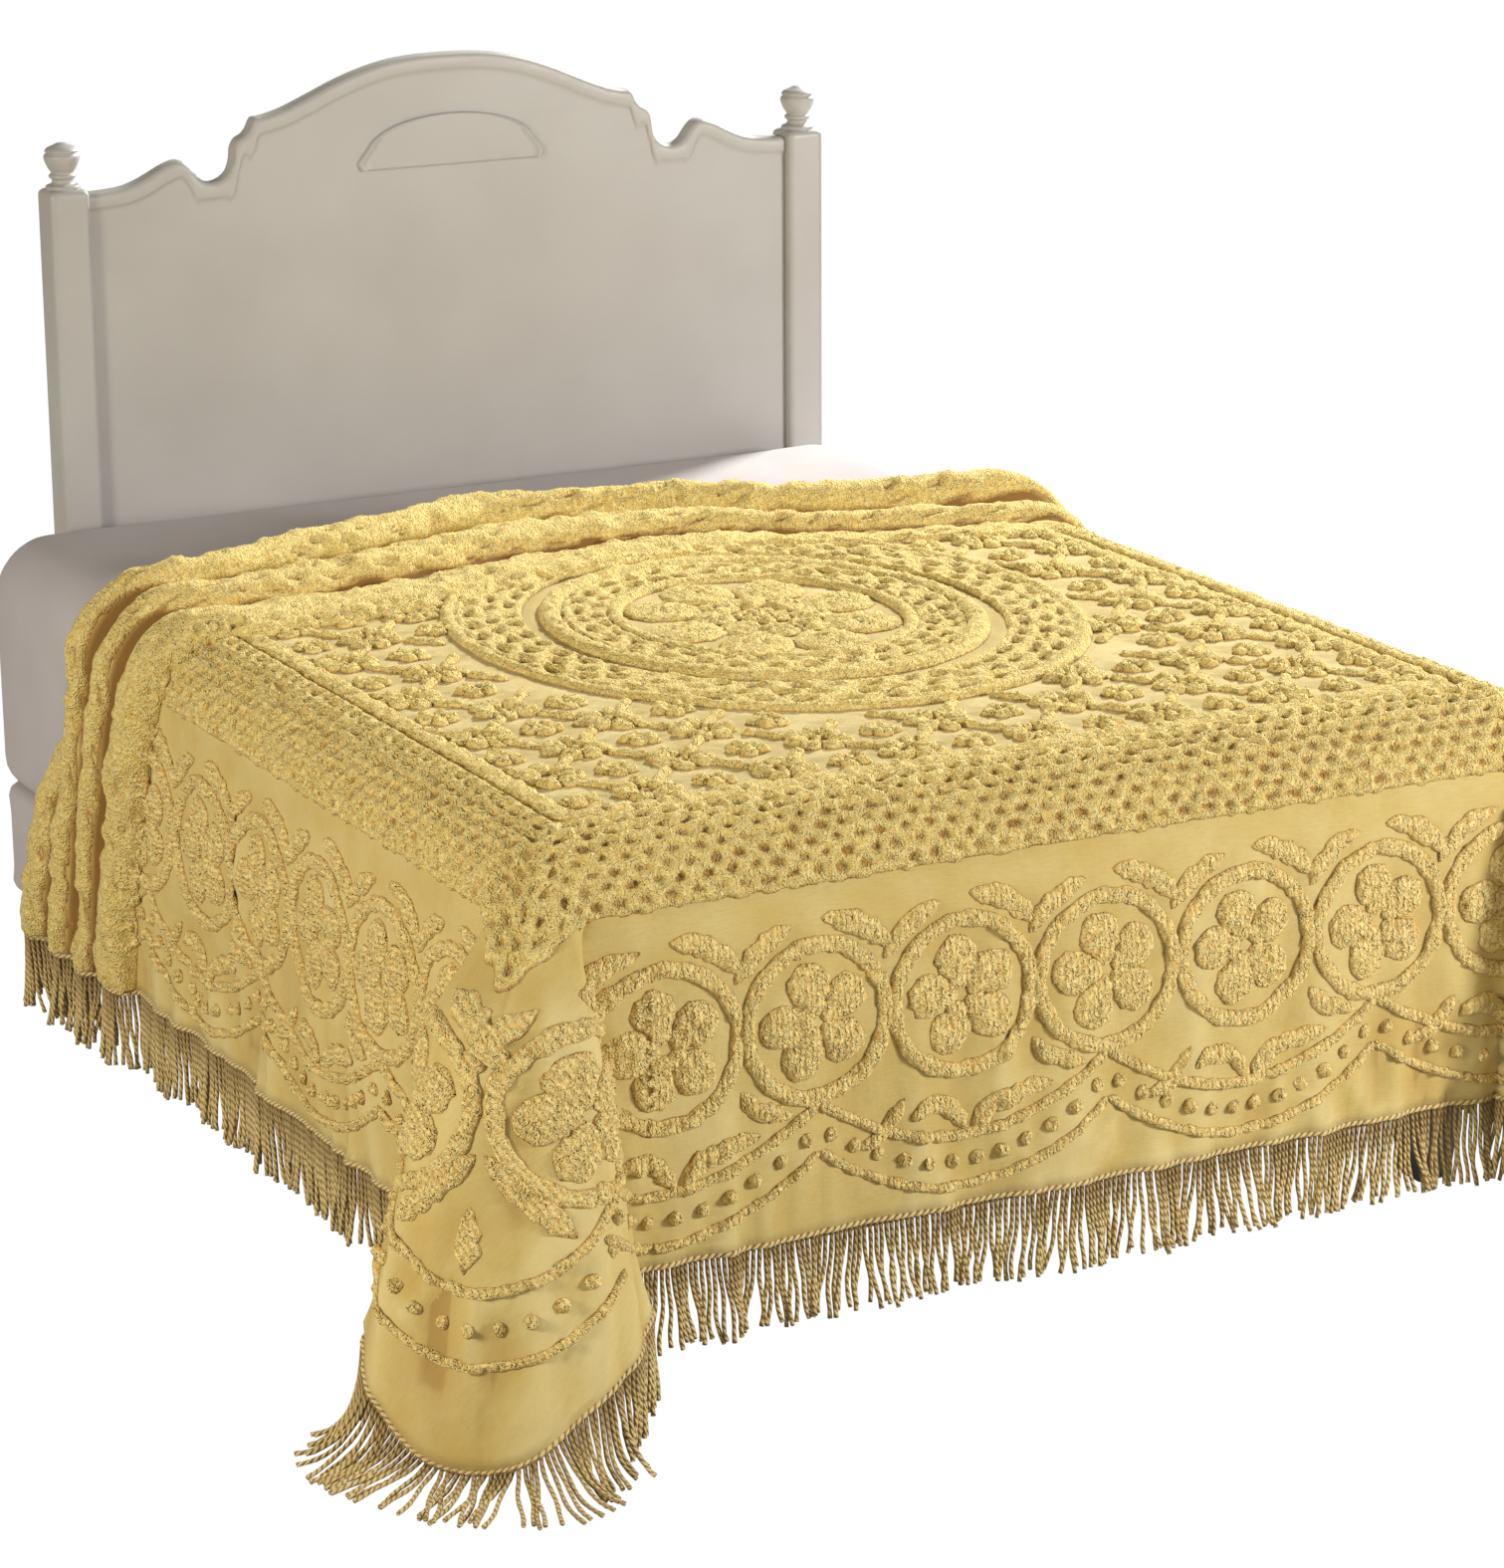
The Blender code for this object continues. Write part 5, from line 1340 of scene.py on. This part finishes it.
def tuft_material(name="chenille_pile", row_share=0.24, row_bump=0.55, tip=TIP, mid=MID, fleck=(0.590, 0.330, 0.088)):
    """Cut chenille pile: pale separate ends in stitched rows, with painted orange-brown shade where the tufts meet the
    ground.
    """
    s = Shader(name)
    where = place_of(s)
    pile = s.node("ShaderNodeAttribute", attribute_name="pile").outputs["Fac"]
    cells = s.node("ShaderNodeTexVoronoi")
    cells.inputs["Scale"].default_value = 330.0
    s.link(where, cells.inputs["Vector"])
    ends = s.spread(cells.outputs["Distance"], 0.62, 0.08)
    fuzz = s.noise(where, 680.0, 2.0, 0.6)
    clump = s.noise(where, 120.0, 2.0, 0.55)
    wide = s.noise(where, 14.0, 2.0, 0.5)
    rows = s.node("ShaderNodeTexWave", bands_direction="X")
    rows.inputs["Scale"].default_value = 42.0
    rows.inputs["Distortion"].default_value = 2.5
    rows.inputs["Detail"].default_value = 1.0
    rows.inputs["Detail Scale"].default_value = 3.0
    s.link(s.flat(), rows.inputs["Vector"])
    rows = rows.outputs["Fac"]
    grain = s.math("ADD", s.math("MULTIPLY", ends, 0.58 - row_share), s.math("MULTIPLY", s.spread(clump, 0.30, 0.70), 0.28))
    grain = s.math("ADD", grain, s.math("MULTIPLY", s.spread(fuzz, 0.3, 0.7), 0.14))
    grain = s.math("ADD", grain, s.math("MULTIPLY", rows, row_share))
    # The grain lightens the middle of each pile end and of each stitched row and darkens their borders, most with the
    # fleck colour: uneven tone and painted shade in the crevices between the ends.
    colour = s.mix(s.spread(grain, 0.24, 0.60), mid, tip)
    colour = s.mix(s.math("MULTIPLY", s.spread(grain, 0.36, 0.14), 0.62), colour, fleck)
    colour = s.mix(s.math("MULTIPLY", s.spread(wide, 0.40, 0.70), 0.30), colour, (0.800, 0.625, 0.255))
    # Painted shade: low pile, near the ground, turns dark orange-brown.
    colour = s.mix(s.spread(pile, 0.04, 0.34), PILE_BASE_SHADE, colour)
    s.link(colour, s.bsdf.inputs["Base Color"])
    s.bsdf.inputs["Roughness"].default_value = 0.95
    s.bsdf.inputs["Sheen Weight"].default_value = 0.20
    s.bsdf.inputs["Sheen Roughness"].default_value = 0.45
    s.bsdf.inputs["Sheen Tint"].default_value = (1.0, 0.92, 0.62, 1.0)
    s.bsdf.inputs["Specular IOR Level"].default_value = 0.10
    first = s.bump(clump, 0.9, 0.0055)
    second = s.bump(rows, row_bump, 0.0020, first)
    s.link(s.bump(ends, 0.9, 0.0028, second), s.bsdf.inputs["Normal"])
    return s.material


def yarn_material():
    """Two-ply twisted cotton: the turns run round the yarn, with painted shade in the grooves between the plies and
    near the roots under the hem.
    """
    s = Shader("fringe_yarn")
    uv = s.node("ShaderNodeUVMap", uv_map="flat")
    parts = s.node("ShaderNodeSeparateXYZ")
    s.link(uv.outputs[0], parts.inputs[0])
    turn = s.math("ADD", s.math("MULTIPLY", parts.outputs[0], 2.0), parts.outputs[1])
    ply = s.math("ABSOLUTE", s.math("SINE", s.math("MULTIPLY", turn, math.pi)))
    fuzz = s.noise(place_of(s), 900.0, 2.0)
    each = s.node("ShaderNodeAttribute", attribute_name="pile").outputs["Fac"]
    # Painted shade: dark in the grooves between the two plies.
    colour = s.mix(s.spread(ply, 0.05, 0.75), (0.225, 0.130, 0.040), (0.830, 0.655, 0.305))
    colour = s.mix(s.math("MULTIPLY", each, 0.42), colour, (0.420, 0.275, 0.095))
    colour = s.mix(s.math("MULTIPLY", s.spread(fuzz, 0.4, 0.8), 0.25), colour, (0.900, 0.760, 0.420))
    # Painted shade: the yarns darken toward their roots, under the hem.
    colour = s.mix(s.math("MULTIPLY", s.spread(parts.outputs[1], 6.0, 0.5), 0.66), colour, (0.215, 0.125, 0.040))
    s.link(colour, s.bsdf.inputs["Base Color"])
    s.bsdf.inputs["Roughness"].default_value = 0.88
    s.bsdf.inputs["Sheen Weight"].default_value = 0.20
    s.bsdf.inputs["Specular IOR Level"].default_value = 0.15
    s.link(s.bump(fuzz, 0.3, 0.0006, s.bump(ply, 0.9, 0.0022)), s.bsdf.inputs["Normal"])
    return s.material


def linen_material():
    """Smooth off-white cotton percale with a faint lilac tint, pressed creases and a fine weave."""
    s = Shader("white_linen")
    where = place_of(s)
    soft = s.noise(where, 5.0, 3.0)
    colour = s.mix(s.spread(soft, 0.3, 0.7), (0.430, 0.398, 0.425), (0.495, 0.463, 0.495))
    fine = s.noise(where, 1400.0, 2.0)
    colour = s.mix(s.math("MULTIPLY", fine, 0.10), colour, (0.48, 0.44, 0.44))
    s.link(colour, s.bsdf.inputs["Base Color"])
    s.bsdf.inputs["Roughness"].default_value = 0.85
    s.bsdf.inputs["Sheen Weight"].default_value = 0.10
    s.bsdf.inputs["Specular IOR Level"].default_value = 0.2
    s.link(s.bump(fine, 0.15, 0.0004, s.bump(s.noise(where, 9.0, 2.0), 0.20, 0.010)), s.bsdf.inputs["Normal"])
    return s.material


def paint_material():
    """Brushed white satin paint on wood: faint grain under it and a warmer tone where it has worn."""
    s = Shader("painted_wood")
    where = s.node("ShaderNodeMapping")
    where.inputs[3].default_value = (1.0, 1.0, 9.0)
    s.link(place_of(s), where.inputs[0])
    brush = s.noise(where.outputs[0], 18.0, 4.0, 0.6)
    wide = s.noise(place_of(s), 3.5, 3.0)
    colour = s.mix(s.spread(wide, 0.3, 0.7), (0.405, 0.390, 0.385), (0.465, 0.455, 0.453))
    colour = s.mix(s.math("MULTIPLY", s.spread(brush, 0.45, 0.75), 0.18), colour, (0.46, 0.43, 0.40))
    s.link(colour, s.bsdf.inputs["Base Color"])
    rough = s.spread(brush, 0.3, 0.7, 0.38, 0.52)
    s.link(rough, s.bsdf.inputs["Roughness"])
    s.link(s.bump(brush, 0.12, 0.0015), s.bsdf.inputs["Normal"])
    return s.material


def floor_material():
    """White to the camera, half grey to the light."""
    s = Shader("studio_floor")
    soft = s.noise(place_of(s), 1.2, 2.0)
    s.link(s.mix(soft, (0.50, 0.50, 0.50), (0.54, 0.54, 0.54)), s.bsdf.inputs["Base Color"])
    s.bsdf.inputs["Roughness"].default_value = 0.9
    glow = s.node("ShaderNodeEmission")
    glow.inputs[0].default_value = (1.0, 1.0, 1.0, 1.0)
    both = s.node("ShaderNodeMixShader")
    s.link(s.node("ShaderNodeLightPath").outputs["Is Camera Ray"], both.inputs[0])
    s.link(s.bsdf.outputs[0], both.inputs[1])
    s.link(glow.outputs[0], both.inputs[2])
    out = next(n for n in s.tree.nodes if n.type == "OUTPUT_MATERIAL")
    s.link(both.outputs[0], out.inputs[0])
    return s.material


# ---- camera, light, world -----------------------------------------------------------------------------------
CAMERA = dict(x=-2.7242, y=-5.3021 + BED_Y, z=TOP + 1.4828, az=-27.7419, el=16.1684, roll=-0.3496, lens=4686.381 / 1575 * 36)


def stage():
    a, e, r = (math.radians(CAMERA[k]) for k in ("az", "el", "roll"))
    back = Vector((math.sin(a) * math.cos(e), -math.cos(a) * math.cos(e), math.sin(e)))
    right = (-back).cross(Vector((0, 0, 1))).normalized()
    up = right.cross(-back)
    x = math.cos(r) * right + math.sin(r) * up
    y = -math.sin(r) * right + math.cos(r) * up
    data = bpy.data.cameras.new("camera")
    data.lens = CAMERA["lens"]
    data.sensor_width = 36.0
    data.sensor_fit = "AUTO"
    data.clip_end = 60.0
    data.dof.use_dof = False
    camera = bpy.data.objects.new("camera", data)
    camera.matrix_world = Matrix(((x[0], y[0], back[0], CAMERA["x"]), (x[1], y[1], back[1], CAMERA["y"]), (x[2], y[2], back[2], CAMERA["z"]), (0, 0, 0, 1)))
    bpy.context.scene.collection.objects.link(camera)
    bpy.context.scene.camera = camera

    def area(name, at, aim, size, power, colour):
        lamp = bpy.data.lights.new(name, "AREA")
        lamp.shape = "DISK"
        lamp.size = size
        lamp.energy = power
        lamp.color = colour
        obj = bpy.data.objects.new(name, lamp)
        obj.location = at
        obj.rotation_euler = (Vector(aim) - Vector(at)).to_track_quat("-Z", "Y").to_euler()
        bpy.context.scene.collection.objects.link(obj)

    area("key", (3.4, 2.6, 3.1), (0.0, -0.1, 0.5), 0.7, 428.0, (0.985, 0.985, 0.905))
    area("front", (3.3, -4.3, 1.9), (0.0, -0.7, 0.4), 0.9, 226.0, (1.0, 0.97, 0.92))
    area("side", (-4.6, -1.3, 2.0), (-0.5, -0.3, 0.4), 1.1, 128.0, (1.0, 0.93, 0.77))
    world = bpy.data.worlds.new("studio")
    world.use_nodes = True
    tree = world.node_tree
    background = tree.nodes["Background"]
    background.inputs[0].default_value = (1.0, 1.0, 1.0, 1.0)
    tint = tree.nodes.new("ShaderNodeMix")
    tint.data_type = "RGBA"
    tint.inputs[6].default_value = (1.0, 0.91, 0.73, 1.0)
    tint.inputs[7].default_value = (1.0, 1.0, 1.0, 1.0)
    tree.links.new(tint.outputs[2], background.inputs[0])
    seen = tree.nodes.new("ShaderNodeLightPath")
    strength = tree.nodes.new("ShaderNodeMapRange")
    strength.inputs[3].default_value = 0.24
    strength.inputs[4].default_value = 1.0
    tree.links.new(seen.outputs["Is Camera Ray"], strength.inputs[0])
    tree.links.new(seen.outputs["Is Camera Ray"], tint.inputs[0])
    tree.links.new(strength.outputs[0], background.inputs[1])
    bpy.context.scene.world = world
    scene = bpy.context.scene
    scene.view_settings.view_transform = "Standard"
    scene.view_settings.look = "None"
    scene.view_settings.exposure = 0.0
    floor = make("floor", [(-14, -14, -0.0005), (14, -14, -0.0005), (14, 14, -0.0005), (-14, 14, -0.0005)], [[0, 1, 2, 3]])
    floor.data.materials.append(floor_material())


# ---- put together ---------------------------------------------------------------------------------------------
def main():
    stage()
    ground, pile_look, yarn, linen, paint = ground_material(), tuft_material(), yarn_material(), linen_material(), paint_material()
    deep_pile = tuft_material("chenille_deep_pile", 0.08, 0.12, (1.000, 0.865, 0.405), (0.805, 0.600, 0.190), (0.575, 0.365, 0.092))
    cloth_obj = build_cloth()
    cloth_obj.data.materials.append(ground)
    tufts = []
    rings, trims = border_pattern()
    for name, pile in (("tufts_rings", rings), ("tufts_swags", trims), ("tufts_waffle", waffle_band()), ("tufts_field", field()),
                       ("tufts_medallion", medallion()), ("tufts_folds", fold_pile())):
        obj = pile.build(name, PILE_H, folded=name == "tufts_folds")
        obj.data.materials.append(pile_look if name in ("tufts_rings", "tufts_swags") else deep_pile)
        tufts.append(obj)
    yarns, header = build_fringe()
    for obj in (yarns, header):
        obj.data.materials.append(yarn)
    mattress, base = build_mattress(), build_base()
    panel, arch = build_headboard()
    posts = [build_post("post_left_turned", BOARD_X - POST_X), build_post("post_right_turned", BOARD_X + POST_X)]
    for obj in (mattress, base):
        obj.data.materials.append(linen)
    for obj in (panel, arch, *posts):
        obj.data.materials.append(paint)
    everything = [cloth_obj, *tufts, yarns, header, mattress, base, panel, arch, *posts]
    for obj in everything:
        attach(obj, "root")
    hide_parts("spread")
    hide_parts("fringe")
    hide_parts("mattress")
    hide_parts("base")
    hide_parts("headboard")
    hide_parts("post_left")
    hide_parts("post_right")
    for name in ("leg_left_a", "leg_left_b", "leg_left_c", "leg_right_a", "leg_right_b", "leg_right_c"):
        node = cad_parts[name]
        for k in range(max(1, len(node.material_slots))):
            if node.material_slots:
                node.material_slots[k].material = paint
            else:
                node.data.materials.append(paint)
    total = 0
    for obj in everything:
        obj.data.calc_loop_triangles()
        total += len(obj.data.loop_triangles)
        print("TRIS", obj.name, len(obj.data.loop_triangles))
    print("TRIS total", total)


main()
